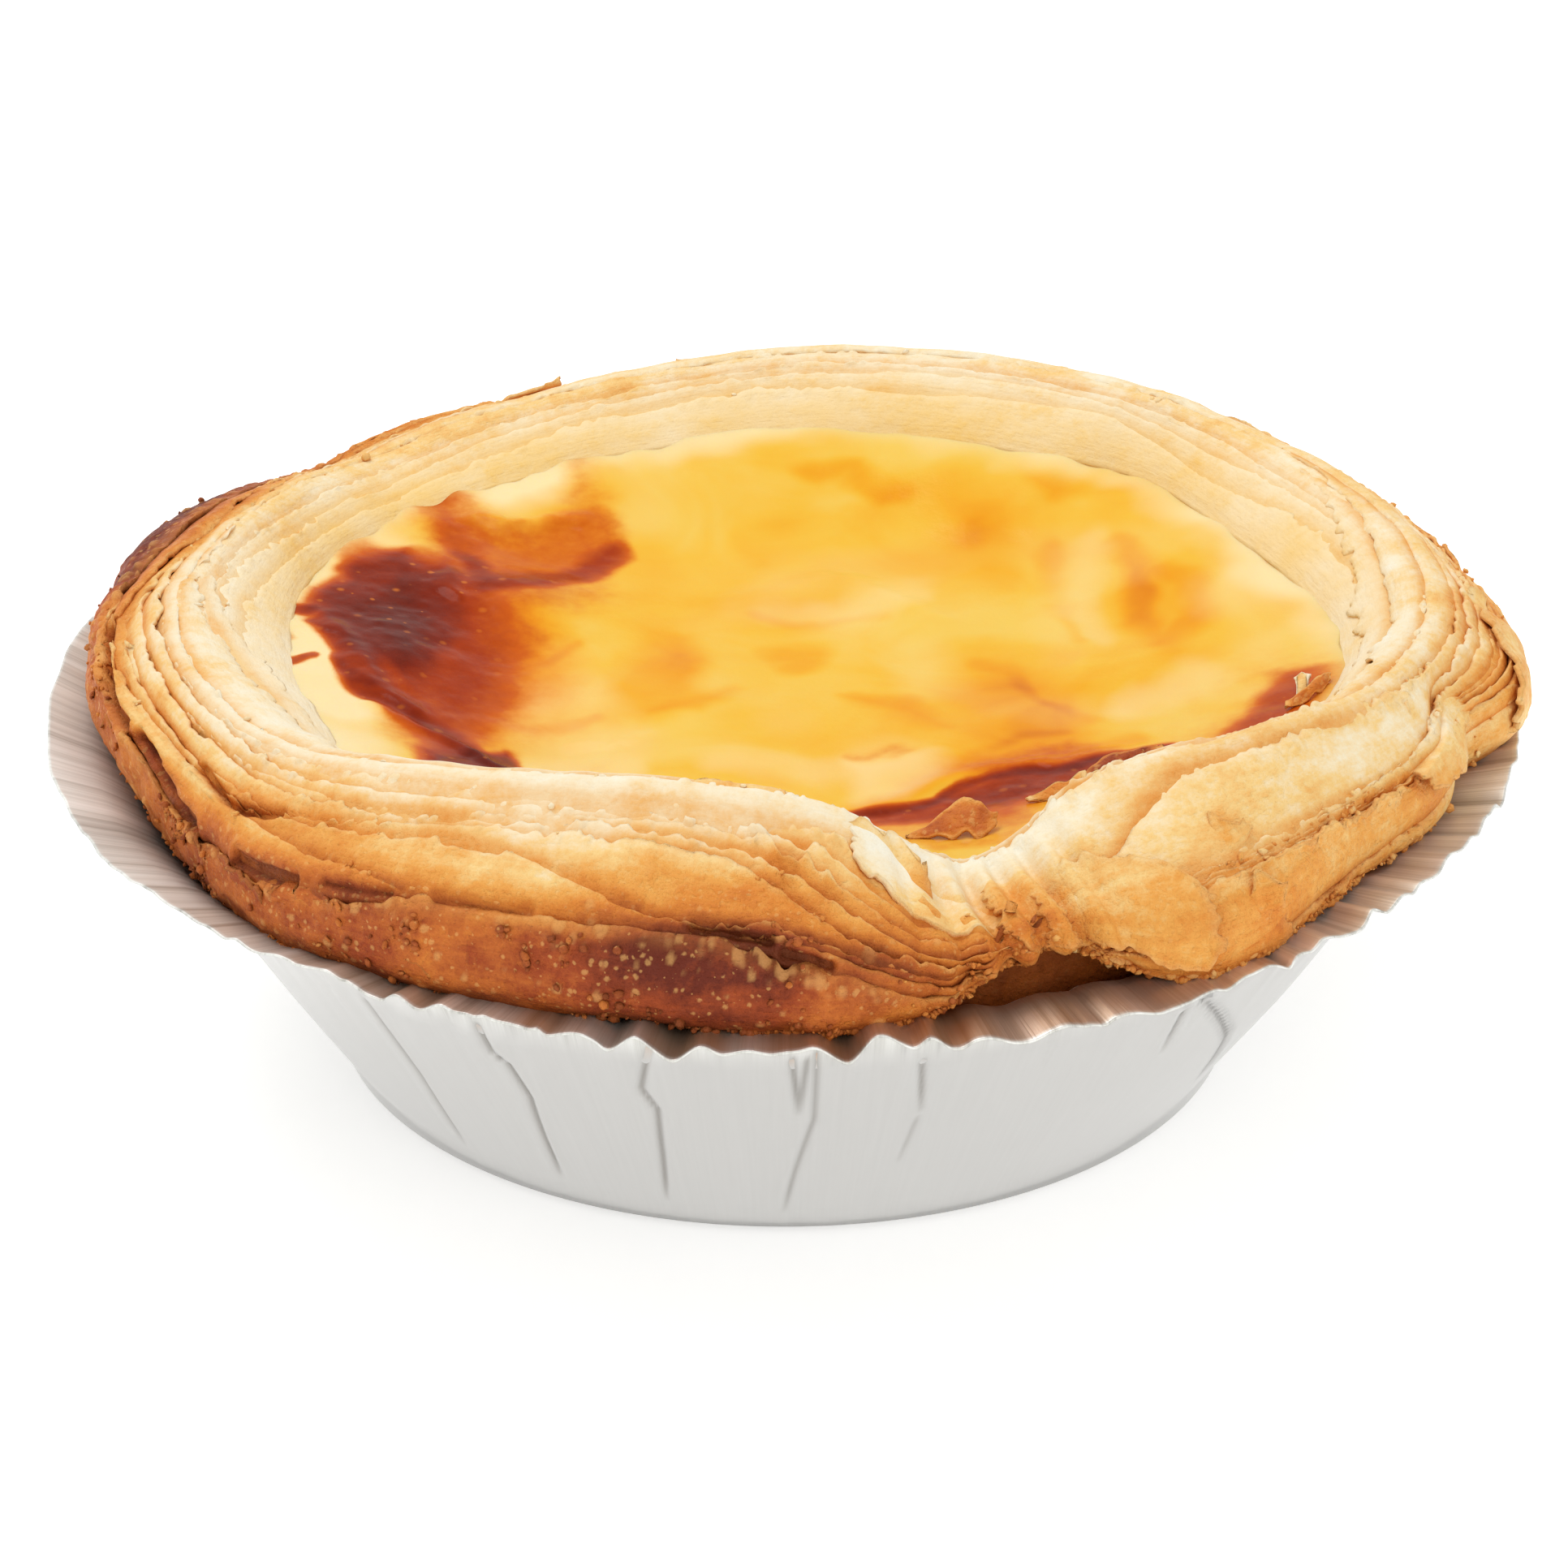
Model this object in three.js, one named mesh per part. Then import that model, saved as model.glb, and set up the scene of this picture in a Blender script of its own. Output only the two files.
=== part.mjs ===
// Custard tart in a foil case: a crimped foil case, a puff pastry shell with a rolled, flaky rim,
// and a baked custard filling. Millimetres, +Z up, origin at the centre of the case's flat base.
// Azimuth 0 is +X and azimuth -90 is the front, -Y.
import * as THREE from "three";

// ---- driving dimensions -------------------------------------------------------------------------
const CASE_BASE_R = 24.3; // flat base of the case
const CASE_CORNER_R = 1.3; // rounded corner under the wall
const CASE_THROAT_R = 34.5; // wall's top, where the flare starts
const CASE_THROAT_Z = 15.2;
const CASE_RIM_R = 41.45; // edge of the flared lip
const CASE_RIM_Z = 19.5;
const FOIL = 0.25; // modelled thickness of the foil
const PLEATS = 80; // crimps round the lip
const PLEAT_HEIGHT = 0.34; // half the height of a crimp at the edge

const DENT = { at: -28, width: 34, by: 0.45 }; // thin wall pushed out a little on the right

const GAP = 0.32; // between pieces that touch
const SLACK = 0.12; // more room where a straight facet cuts a corner
const WALL = 4.0; // pastry wall, at mid height
const FLOOR = 2.6; // pastry under the custard
const CUSTARD_Z = 20.7; // middle of the custard, sunk after baking

// Sizes of the rolled pastry rim, each with the places where it swells or shrinks: azimuth, width to
// each side in degrees, and amount. The rim rolls high at the front left, is pinched at the front,
// with its hem lifted there, has a broad lobe to the right of the pinch, and is low behind on the left.
const RIM = {
  outR: {
    size: 39.3, // widest radius
    swells: [
      { at: -4, width: 17, by: 1.9 }, // brown layer that reaches the case's edge on the right
      { at: -16, width: 5, by: -2.0 }, // notch in front of it
      { at: -54, width: 9, by: 0.7 },
      { at: -69, width: 8, by: -2.6 },
      { at: -154, width: 15, by: -1.9 },
      { at: 137, width: 11, by: -1.3 }, // end of the outer lip behind on the left
    ],
  },
  hemZ: {
    size: 20.1, // lower edge, where the pastry lies over the case's lip
    swells: [
      { at: -68, width: 8, by: 2.3 },
      { at: -10, width: 9, by: 0.5 },
    ],
  },
  crestR: {
    size: 34.6, // highest line of the rim
    swells: [
      { at: -96, width: 42, by: -3.9 },
      { at: -58, width: 18, by: -2.6 },
      { at: 4, width: 28, by: 1.5 },
      { at: 158, width: 20, by: -1.3 },
    ],
  },
  crestZ: {
    size: 26.5,
    swells: [
      { at: -104, width: 30, by: 3.3 },
      { at: -71, width: 10, by: -3.4 },
      { at: -42, width: 22, by: 1.9 },
      { at: 126, width: 30, by: -2.2 },
      { at: 137, width: 10, by: -0.6 },
    ],
  },
  lineR: {
    size: 29.2, // where the custard meets the pastry
    swells: [
      { at: -165, width: 30, by: -1.8 },
      { at: -4, width: 24, by: 2.0 },
      { at: 47, width: 12, by: 1.3 },
    ],
  },
  lineZ: {
    size: 23.8,
    swells: [
      { at: 128, width: 30, by: -1.3 },
      { at: -70, width: 14, by: -0.8 },
    ],
  },
};

const LAYERS = 6; // laminated layers that show outside the crest
const BAND_TOP = 0.36; // top edge of the outermost layer, as a share of the rim's outline
const CREST_AT = 0.667; // the crest's own share
const LIP = 0.42; // how far a layer's torn edge stands out
const BULGE = 0.12; // how far its face stands out below that edge
const ROOT = 0.36; // how far the next layer is set back behind it
const ROOT_STEP = 0.018; // share of the outline from a torn edge to that root
const TEAR = 0.016; // unevenness of a torn edge, as a share of the outline
const GROOVE = { at: 163, width: 15, by: 1.3 }; // outer lip standing apart behind on the left
const RIDGES = [0.06, -0.2, 0.22, -0.16, 0.1]; // soft folds of the inner slope, crest to custard

// Blisters and hollows of the custard's skin.
const SKIN_BUMPS = [
  { x: -15.5, y: 9.5, radius: 4.6, height: 1.1 }, // scorched pillow behind on the left
  { x: -21.5, y: 1.5, radius: 4.2, height: 1.0 }, // scorched swelling on the left
  { x: -13.0, y: -8.0, radius: 3.4, height: -0.7 }, // hollow in front of it
  { x: -6.5, y: -3.5, radius: 5.0, height: 0.45 },
  { x: 10.5, y: -8.5, radius: 6.0, height: 0.55 },
  { x: 9.0, y: 9.0, radius: 4.2, height: 0.5 },
  { x: 19.5, y: 1.0, radius: 4.4, height: 0.6 },
  { x: 0.5, y: 12.5, radius: 4.6, height: 0.4 },
];

const CASE_STEPS = 2 * PLEATS;
const PASTRY_STEPS = 112;
const CUSTARD_STEPS = 64;
const TAU = 2 * Math.PI;

// ---- small helpers ------------------------------------------------------------------------------
const mix = (a, b, t) => a + (b - a) * t;
const smooth = (t) => {
  const c = Math.min(1, Math.max(0, t));
  return c * c * (3 - 2 * c);
};

// Seeded random numbers, so that every run gives the same tart.
function seededRandom(seed) {
  let state = seed;
  return () => {
    state = (state * 1664525 + 1013904223) % 4294967296;
    return state / 4294967296;
  };
}

// A local swell: its full amount at its own azimuth, fading out over its width to each side.
function swell(degrees, { at, width, by }) {
  const away = ((degrees - at + 540) % 360) - 180;
  return by * Math.exp(-((away / width) ** 2));
}

// The rim's sizes at an azimuth, with their swells.
function rimAt(degrees) {
  const sizes = {};
  for (const [name, { size, swells }] of Object.entries(RIM)) {
    sizes[name] = swells.reduce((sum, one) => sum + swell(degrees, one), size);
  }
  return sizes;
}

// Slow waves round the rim, between about -1 and 1, with their own phases for each number.
function waves(degrees, number) {
  const a = (degrees / 360) * TAU;
  return (
    0.5 * Math.sin(2 * a + 1.7 * number) +
    0.35 * Math.sin(5 * a + 2.9 * number) +
    0.25 * Math.sin(9 * a + 4.3 * number)
  );
}

// A closed body made of one profile for each azimuth. A profile is a list of [radius, height] that
// starts on the axis below and ends on the axis above, and every profile has as many points.
function turnedBody(steps, profileAt) {
  const profiles = [];
  for (let i = 0; i < steps; i++) profiles.push(profileAt((360 * i) / steps, i));
  const rings = profiles[0].length - 2;
  const positions = [];
  const index = [];
  profiles.forEach((profile, i) => {
    const a = (TAU * i) / steps;
    for (let j = 1; j <= rings; j++) {
      positions.push(profile[j][0] * Math.cos(a), profile[j][0] * Math.sin(a), profile[j][1]);
    }
  });
  const bottom = positions.length / 3;
  const top = bottom + 1;
  positions.push(0, 0, profiles[0][0][1], 0, 0, profiles[0][rings + 1][1]);
  const at = (i, j) => (i % steps) * rings + j;
  for (let i = 0; i < steps; i++) {
    index.push(bottom, at(i + 1, 0), at(i, 0));
    for (let j = 0; j < rings - 1; j++) {
      index.push(at(i, j), at(i + 1, j), at(i + 1, j + 1));
      index.push(at(i, j), at(i + 1, j + 1), at(i, j + 1));
    }
    index.push(top, at(i, rings - 1), at(i + 1, rings - 1));
  }
  const geometry = new THREE.BufferGeometry();
  geometry.setAttribute("position", new THREE.Float32BufferAttribute(positions, 3));
  geometry.setIndex(index);
  geometry.computeVertexNormals();
  return geometry;
}

function named(name, geometry, color, roughness, metalness) {
  const material = new THREE.MeshStandardMaterial({ color, roughness, metalness });
  const mesh = new THREE.Mesh(geometry, material);
  mesh.name = name;
  return mesh;
}

// ---- foil case ----------------------------------------------------------------------------------
// Outside of the case, from the base to the lip's edge.
const CASE_OUTSIDE = [
  [CASE_BASE_R, 0],
  [CASE_BASE_R + 0.7 * CASE_CORNER_R, 0.35 * CASE_CORNER_R],
  [CASE_BASE_R + CASE_CORNER_R, 1.2 * CASE_CORNER_R],
  [mix(CASE_BASE_R + CASE_CORNER_R, CASE_THROAT_R, 0.5), mix(1.2 * CASE_CORNER_R, CASE_THROAT_Z, 0.49)],
  [CASE_THROAT_R, CASE_THROAT_Z],
  [mix(CASE_THROAT_R, CASE_RIM_R, 0.33), mix(CASE_THROAT_Z, CASE_RIM_Z, 0.52)],
  [CASE_RIM_R, CASE_RIM_Z],
];

// Height of the crimps: none at the throat, full at the edge, and uneven round the case.
function pleatHeight(degrees, step, share) {
  const uneven = 0.75 + 0.35 * waves(degrees, 11);
  return (step % 2 ? 1 : -1) * PLEAT_HEIGHT * uneven * share;
}

// The dent starts above the base and ends below the lip's edge.
function dent(degrees, z) {
  return swell(degrees, DENT) * smooth(z / 10) * smooth((CASE_RIM_Z - z) / 5);
}

function caseProfile(degrees, step) {
  const outside = CASE_OUTSIDE.map(([r, z], i) => {
    const share = i < 5 ? 0 : (i - 4) / 2;
    return [r + dent(degrees, z), z + pleatHeight(degrees, step, share)];
  });
  const inside = outside.map(([r, z], i) => {
    if (i < 3) return [r - 0.55 * FOIL * i, z + FOIL];
    if (i < 5) return [r - FOIL, z + 0.5 * FOIL];
    return [r - (i < 6 ? 0.5 * FOIL : 0), z + FOIL];
  });
  return [[0, 0], ...outside, ...inside.reverse(), [0, FOIL]];
}

// Inner face of the case at a height, clear of the crimps.
function caseInsideR(z) {
  for (let i = 2; i < CASE_OUTSIDE.length - 1; i++) {
    const [r0, z0] = CASE_OUTSIDE[i];
    const [r1, z1] = CASE_OUTSIDE[i + 1];
    if (z <= z1) return mix(r0, r1, (z - z0) / (z1 - z0)) - FOIL;
  }
  return CASE_RIM_R;
}

// ---- pastry shell ------------------------------------------------------------------------------
// The rolled rim's smooth outline at an azimuth, from the hem over the crest to the custard's edge.
function rimCurve(rim) {
  const rise = rim.crestZ - rim.hemZ;
  const roll = rim.outR - rim.crestR;
  const slope = rim.crestR - rim.lineR;
  const drop = rim.crestZ - rim.lineZ;
  return new THREE.SplineCurve([
    new THREE.Vector2(rim.outR - 0.7, rim.hemZ),
    new THREE.Vector2(rim.outR, rim.hemZ + 0.14 * rise),
    new THREE.Vector2(rim.outR - 0.07 * roll, rim.hemZ + 0.5 * rise),
    new THREE.Vector2(rim.outR - 0.42 * roll, rim.crestZ - 0.28 * rise),
    new THREE.Vector2(rim.crestR, rim.crestZ),
    new THREE.Vector2(rim.crestR - 0.45 * slope, rim.crestZ - 0.24 * drop),
    new THREE.Vector2(rim.lineR, rim.lineZ),
  ]);
}

// A point on the rim's outline, moved out along its normal.
function rimPoint(curve, t, out) {
  const p = curve.getPoint(t);
  const along = curve.getTangent(t);
  return [p.x + along.y * out, p.y - along.x * out];
}

// Torn upper edge of a layer: the outermost stands as a tall brown band and the rest climb to the crest.
function layerEdge(degrees, layer) {
  const spread = (CREST_AT - BAND_TOP) / LAYERS;
  const wander = layer === 0 ? 0.25 : 0.42;
  return BAND_TOP + spread * (layer + 0.4 + wander * waves(degrees, layer + 1));
}

const tear = seededRandom(7);
function pastryProfile(degrees) {
  const rim = rimAt(degrees);
  const curve = rimCurve(rim);
  const points = [];

  // under the case's lip and down its inside
  const baseZ = FOIL + GAP;
  points.push([0, baseZ], [CASE_BASE_R - 0.6, baseZ]);
  for (const z of [CASE_CORNER_R * 1.2 + 0.6, 0.5 * CASE_THROAT_Z, CASE_THROAT_Z + 0.4]) {
    points.push([caseInsideR(z) - GAP - SLACK, z]);
  }
  points.push([mix(CASE_THROAT_R, rim.outR, 0.4), Math.max(CASE_RIM_Z - 0.5, rim.hemZ - 1.2)]);

  // outer face: each layer is a face, a lip that stands out, and a set-back root behind it
  points.push(rimPoint(curve, 0, 0.15 * tear()));
  points.push(rimPoint(curve, 0.13, 0.1 * tear()));
  let last = 0.13;
  for (let layer = 0; layer < LAYERS; layer++) {
    const edge = layerEdge(degrees, layer) + TEAR * (tear() - 0.5);
    const groove = layer === 1 ? swell(degrees, GROOVE) : 0;
    points.push(rimPoint(curve, mix(last, edge, 0.5), BULGE));
    points.push(rimPoint(curve, edge, LIP * (0.7 + 0.6 * tear())));
    last = edge + ROOT_STEP;
    points.push(rimPoint(curve, last, -ROOT - groove));
  }

  // crest and inner slope, with the soft ridges of the folded layers
  RIDGES.forEach((ridge, i) => {
    const t = mix(CREST_AT + 0.03, 0.97, i / (RIDGES.length - 1));
    points.push(rimPoint(curve, t + 0.012 * waves(degrees, 20 + i), ridge));
  });
  points.push([rim.lineR, rim.lineZ - 0.8]);

  // the hollow that the custard fills
  for (const z of CAVITY_Z) points.push([cavityR(rim, z), z]);
  points.push([0, FLOOR + FOIL + GAP]);
  return points;
}

// Radius of the hollow in the pastry at a height below the custard's edge.
const CAVITY_Z = [17, 10, 5, FLOOR + FOIL + GAP + 0.4];
function cavityR(rim, z) {
  const wall = caseInsideR(z) - GAP - WALL;
  return Math.min(wall, mix(rim.lineR, wall, smooth((rim.lineZ - z) / 9)));
}

// ---- custard ------------------------------------------------------------------------------------
// A point of the custard's top, at a share of the way from the middle to the pastry.
function custardTop(rim, degrees, share) {
  const r = share * (rim.lineR - GAP);
  const a = (degrees / 360) * TAU;
  const x = r * Math.cos(a);
  const y = r * Math.sin(a);
  const dish = mix(CUSTARD_Z, rim.lineZ - 0.1, smooth((share - 0.45) / 0.6) ** 1.3);
  const bumps = SKIN_BUMPS.reduce((sum, bump) => {
    const away = Math.hypot(x - bump.x, y - bump.y) / bump.radius;
    return sum + bump.height * Math.exp(-(away ** 2));
  }, 0);
  return [r, dish + bumps * (1 - share ** 6)];
}

function custardProfile(degrees) {
  const rim = rimAt(degrees);
  const floorZ = FLOOR + FOIL + 2 * GAP;
  const points = [[0, floorZ]];
  for (const z of [...CAVITY_Z].reverse()) {
    const level = z === CAVITY_Z[CAVITY_Z.length - 1] ? floorZ + 0.2 : z;
    points.push([cavityR(rim, z) - GAP - SLACK, level]);
  }
  const shares = [1, 0.93, 0.85, 0.75, 0.63, 0.5, 0.36, 0.2];
  for (const share of shares) points.push(custardTop(rim, degrees, share));
  points.push([0, custardTop(rimAt(0), 0, 0)[1]]);
  return points;
}

// ---- the tart -----------------------------------------------------------------------------------
const tart = new THREE.Group();
tart.add(
  named("foil_case", turnedBody(CASE_STEPS, caseProfile), 0xd4d3d0, 0.35, 1.0),
  named("pastry_shell", turnedBody(PASTRY_STEPS, pastryProfile), 0xe2ab62, 0.75, 0.0),
  named("custard", turnedBody(CUSTARD_STEPS, custardProfile), 0xf6c44f, 0.22, 0.0),
);

export default tart;
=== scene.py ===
# Custard tart in its foil case. Blender 4.5, metres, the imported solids' own frame.
# Azimuth 0 is +X and azimuth -90 is the front, -Y.
import math

import bpy
import numpy as np
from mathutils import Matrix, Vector


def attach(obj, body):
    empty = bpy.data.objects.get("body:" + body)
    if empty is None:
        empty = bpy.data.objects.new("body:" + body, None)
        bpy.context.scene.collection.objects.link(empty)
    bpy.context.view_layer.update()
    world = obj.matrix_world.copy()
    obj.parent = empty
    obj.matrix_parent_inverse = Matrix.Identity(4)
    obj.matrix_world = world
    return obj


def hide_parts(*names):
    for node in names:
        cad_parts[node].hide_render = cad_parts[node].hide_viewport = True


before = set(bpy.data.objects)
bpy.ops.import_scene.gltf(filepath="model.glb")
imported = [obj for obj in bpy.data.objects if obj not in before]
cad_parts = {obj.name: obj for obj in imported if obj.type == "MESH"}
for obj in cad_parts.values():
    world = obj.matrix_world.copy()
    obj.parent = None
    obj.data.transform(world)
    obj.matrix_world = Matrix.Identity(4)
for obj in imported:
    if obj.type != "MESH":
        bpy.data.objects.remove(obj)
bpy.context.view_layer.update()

mm = 0.001
for spare in ("Cube", "Light", "Camera"):
    if spare in bpy.data.objects:
        bpy.data.objects.remove(bpy.data.objects[spare])
bpy.ops.object.select_all(action="DESELECT")


# sRGB hex to linear colour
def linear(code):
    parts = [int(code[i:i + 2], 16) / 255 for i in (0, 2, 4)]
    return [p / 12.92 if p <= 0.04045 else ((p + 0.055) / 1.055) ** 2.4 for p in parts] + [1.0]


# adds a node and gives back an output: inputs take values or other outputs, stops fill a colour ramp
def addNode(tree, kind, inputs, output=None, stops=None, **settings):
    node = tree.nodes.new("ShaderNode" + kind)
    for name, value in settings.items():
        setattr(node, name, value)
    for name, value in inputs.items():
        if isinstance(value, bpy.types.NodeSocket):
            tree.links.new(value, node.inputs[name])
        else:
            node.inputs[name].default_value = value
    if stops:
        row = node.color_ramp.elements
        row[0].position, row[-1].position = stops[0][0], stops[-1][0]
        for place, code in stops[1:-1]:
            row.new(place)
        for stop, (place, code) in zip(row, stops):
            stop.color = linear(code)
    return node.outputs[output] if output else next((spot for spot in node.outputs if spot.enabled), None)


def newMaterial(name):
    material = bpy.data.materials.new(name)
    material.use_nodes = True
    material.node_tree.nodes.clear()
    return material, material.node_tree


# round spots in cells, each with its own size
def blisters(tree, place, scale, rarest, small, large, core, most=1.0):
    cells = addNode(tree, "TexVoronoi", {"Scale": scale, "Vector": place})
    chance = addNode(tree, "SeparateColor", {"Color": cells.node.outputs["Color"]})
    radius = addNode(tree, "MapRange",
                     {"From Min": rarest, "To Min": small, "To Max": large, "Value": chance})
    reach = addNode(tree, "Math", {0: cells, 1: radius}, operation="DIVIDE")
    return addNode(tree, "MapRange", {"From Min": 1.0, "From Max": core, "To Max": most, "Value": reach},
                   interpolation_type="SMOOTHSTEP")


# the shader with its bumps, each laid on the one before: source, strength and depth in metres
def finish(material, inputs, bumps):
    tree = material.node_tree
    below = {}
    for source, strength, depth in bumps:
        below = {"Normal": addNode(tree, "Bump", {"Strength": strength, "Distance": depth, "Height": source,
                                                  **below})}
    addNode(tree, "OutputMaterial", {"Surface": addNode(tree, "BsdfPrincipled", {**inputs, **below})})
    return material


def smooth(t):
    t = np.clip(t, 0, 1)
    return t * t * (3 - 2 * t)


# 0 below low, 1 above high, smooth between
def ramp(value, low, high):
    return smooth((value - low) / (high - low))


def mix(a, b, share):
    return a + (b - a) * share


def turnFrom(deg, at):
    return (deg - at + 540) % 360 - 180


def hump(deg, at, width):
    return np.exp(-(turnFrom(deg, at) / width) ** 2)


# a table of (azimuth, value) pairs read round the tart, its corners rounded off
def aroundTart(deg, table, soft=2.0):
    at, value = zip(*table)
    steps = (-1.5, -0.75, 0, 0.75, 1.5)
    return sum(np.interp(deg + step * soft, at, value, period=360) for step in steps) / len(steps)


def lattice(ix, iy, iz, seed):
    h = (ix * 73856093) ^ (iy * 19349663) ^ (iz * 83492791) ^ (seed * 2654435761)
    h = h & 0xFFFFFFFF
    h = ((h ^ (h >> 15)) * 2246822519) & 0xFFFFFFFF
    h = ((h ^ (h >> 13)) * 3266489917) & 0xFFFFFFFF
    return ((h ^ (h >> 16)) & 0xFFFFFF) / 16777216.0


# lumps of one size in mm, from -1 to 1
def noise(points, size, seed):
    cell = points / size + 1000.0
    low = np.floor(cell).astype(np.int64)
    part = cell - low
    part = part * part * (3 - 2 * part)
    total = np.zeros(len(points))
    for corner in range(8):
        step = np.array([corner & 1, corner >> 1 & 1, corner >> 2 & 1])
        share = np.prod(np.where(step == 1, part, 1 - part), axis=1)
        ix, iy, iz = (low + step).T
        total += share * lattice(ix, iy, iz, seed)
    return total * 2 - 1


# rounded grains scattered in cells of one size in mm, from 0 between them to 1 at the top of the largest
def grains(points, size, seed, chance, fill):
    cell = points / size + 1000.0
    low = np.floor(cell).astype(np.int64)
    best = np.zeros(len(points))
    for corner in range(27):
        there = low + np.array([corner % 3 - 1, corner // 3 % 3 - 1, corner // 9 - 1])
        ix, iy, iz = there.T
        big = lattice(ix, iy, iz, seed)
        spot = there + np.stack([lattice(ix, iy, iz, seed + k) for k in (1, 2, 3)], 1)
        away = np.sqrt(((cell - spot) ** 2).sum(1))
        radius = fill * (0.35 + 0.65 * np.clip((big - 1 + chance) / chance, 0, 1))
        dome = np.sqrt(np.maximum(0, 1 - (away / radius) ** 2)) * radius / fill
        best = np.maximum(best, np.where(big > 1 - chance, dome, 0))
    return best


# how far inside a closed outline each point lies in mm, negative outside it
def insideBy(x, y, outline):
    away = strokeDistance(x, y, outline + outline[:1])
    within = np.zeros(len(x), bool)
    for (x0, y0), (x1, y1) in zip(outline, outline[1:] + outline[:1]):
        if y0 != y1:
            within ^= ((y0 > y) != (y1 > y)) & (x < (x1 - x0) * (y - y0) / (y1 - y0) + x0)
    return np.where(within, away, -away)


# distance in mm from each point to a bent line
def strokeDistance(x, y, line):
    best = np.full(len(x), 1e9)
    for (x0, y0), (x1, y1) in zip(line[:-1], line[1:]):
        dx, dy = x1 - x0, y1 - y0
        share = np.clip(((x - x0) * dx + (y - y0) * dy) / (dx * dx + dy * dy), 0, 1)
        best = np.minimum(best, np.hypot(x - x0 - share * dx, y - y0 - share * dy))
    return best


# The rolled rim's outline, as in the solids
rimShape = {
    "outR": (39.3, [(-4, 17, 1.9), (-16, 5, -2.0), (-54, 9, 0.7), (-69, 8, -2.6), (-154, 15, -1.9),
                    (137, 11, -1.3), (-33, 12, -1.3), (-178, 24, -0.7)]),
    "hemZ": (20.1, [(-68, 8, 2.3), (-10, 9, 0.5), (-58, 6, -0.5), (-44, 12, 0.3)]),
    "crestR": (34.6, [(-96, 42, -3.9), (-58, 18, -2.6), (4, 28, 1.5), (158, 20, -1.3)]),
    "crestZ": (26.5, [(-104, 30, 3.3), (-71, 10, -3.4), (-42, 22, 1.9), (126, 30, -2.2), (137, 10, -0.6)]),
    "lineR": (29.2, [(-165, 30, -1.8), (-4, 24, 2.0), (47, 12, 1.3)]),
    "lineZ": (23.8, [(128, 30, -1.3), (-70, 14, -0.8)]),
}
outlineLength = 16.0  # mm from the hem over the crest to the custard
rimRadius = 38  # mm, where lumps on the rim are measured
perDegree = 0.66  # mm round the rim
pinchAt = -69  # azimuth of the pinch


def rimSizes(deg):
    return {
        name: size + sum(by * hump(deg, at, width) for at, width, by in swells)
        for name, (size, swells) in rimShape.items()
    }


# radius and height on the rim: share 0 is the hem, 0.667 the crest, 1 the custard's edge
def rimSpot(deg, share, out):
    q = rimSizes(deg)
    rise = q["crestZ"] - q["hemZ"]
    roll = q["outR"] - q["crestR"]
    slope = q["crestR"] - q["lineR"]
    drop = q["crestZ"] - q["lineZ"]
    knotR = np.stack([q["outR"] - 0.7, q["outR"], q["outR"] - 0.07 * roll, q["outR"] - 0.42 * roll,
                      q["crestR"], q["crestR"] - 0.45 * slope, q["lineR"]])
    knotZ = np.stack([q["hemZ"], q["hemZ"] + 0.14 * rise, q["hemZ"] + 0.5 * rise, q["crestZ"] - 0.28 * rise,
                      q["crestZ"], q["crestZ"] - 0.24 * drop, q["lineZ"]])
    inside = np.clip(share, 0, 1)
    first = np.minimum((inside * 6).astype(int), 5)
    w = inside * 6 - first
    column = np.arange(len(deg))
    found = []
    for knots in (knotR, knotZ):
        p0, p1, p2, p3 = (knots[np.clip(first + k, 0, 6), column] for k in (-1, 0, 1, 2))
        v0 = (p2 - p0) / 2
        v1 = (p3 - p1) / 2
        a = 2 * p1 - 2 * p2 + v0 + v1
        b = -3 * p1 + 3 * p2 - 2 * v0 - v1
        found.append((a * w ** 3 + b * w ** 2 + v0 * w + p1, 3 * a * w ** 2 + 2 * b * w + v0))
    (r, dr), (z, dz) = found
    length = np.hypot(dr, dz)
    over = (share - inside) * outlineLength  # past either end the outline runs straight on
    return r + dr / length * over + dz / length * out, z + dz / length * over - dr / length * out


def toPoints(deg, r, z):
    a = np.radians(deg)
    return np.stack([r * np.cos(a), r * np.sin(a), z], 1)


# lumps on the rim, in mm round it and along its outline
def rimNoise(deg, share, size, seed, along=1.0):
    return noise(toPoints(deg, rimRadius, share * outlineLength * along), size, seed)


def rimGrains(deg, share, size, seed, chance, fill):
    return grains(toPoints(deg, rimRadius, share * outlineLength), size, seed, chance, fill)


# a flat grid to be rolled up, with each vertex's column and row on it
def newGrid(name, around, along):
    bpy.ops.object.select_all(action="DESELECT")
    bpy.ops.mesh.primitive_grid_add(x_subdivisions=around, y_subdivisions=along, size=2)
    piece = bpy.context.object
    piece.name = name
    piece.data.name = name
    flat = np.empty(len(piece.data.vertices) * 3)
    piece.data.vertices.foreach_get("co", flat)
    flat = flat.reshape(-1, 3)
    column = np.rint((flat[:, 0] + 1) / 2 * around).astype(int)
    row = np.rint((flat[:, 1] + 1) / 2 * along).astype(int)
    return piece, column, row


# keeps a field on the piece for its material
def paint(piece, **fields):
    for name, values in fields.items():
        vector = values.ndim == 2
        layer = piece.data.attributes.new(name, "FLOAT_VECTOR" if vector else "FLOAT", "POINT")
        layer.data.foreach_set("vector" if vector else "value", values.astype(np.float32).ravel())


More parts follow.
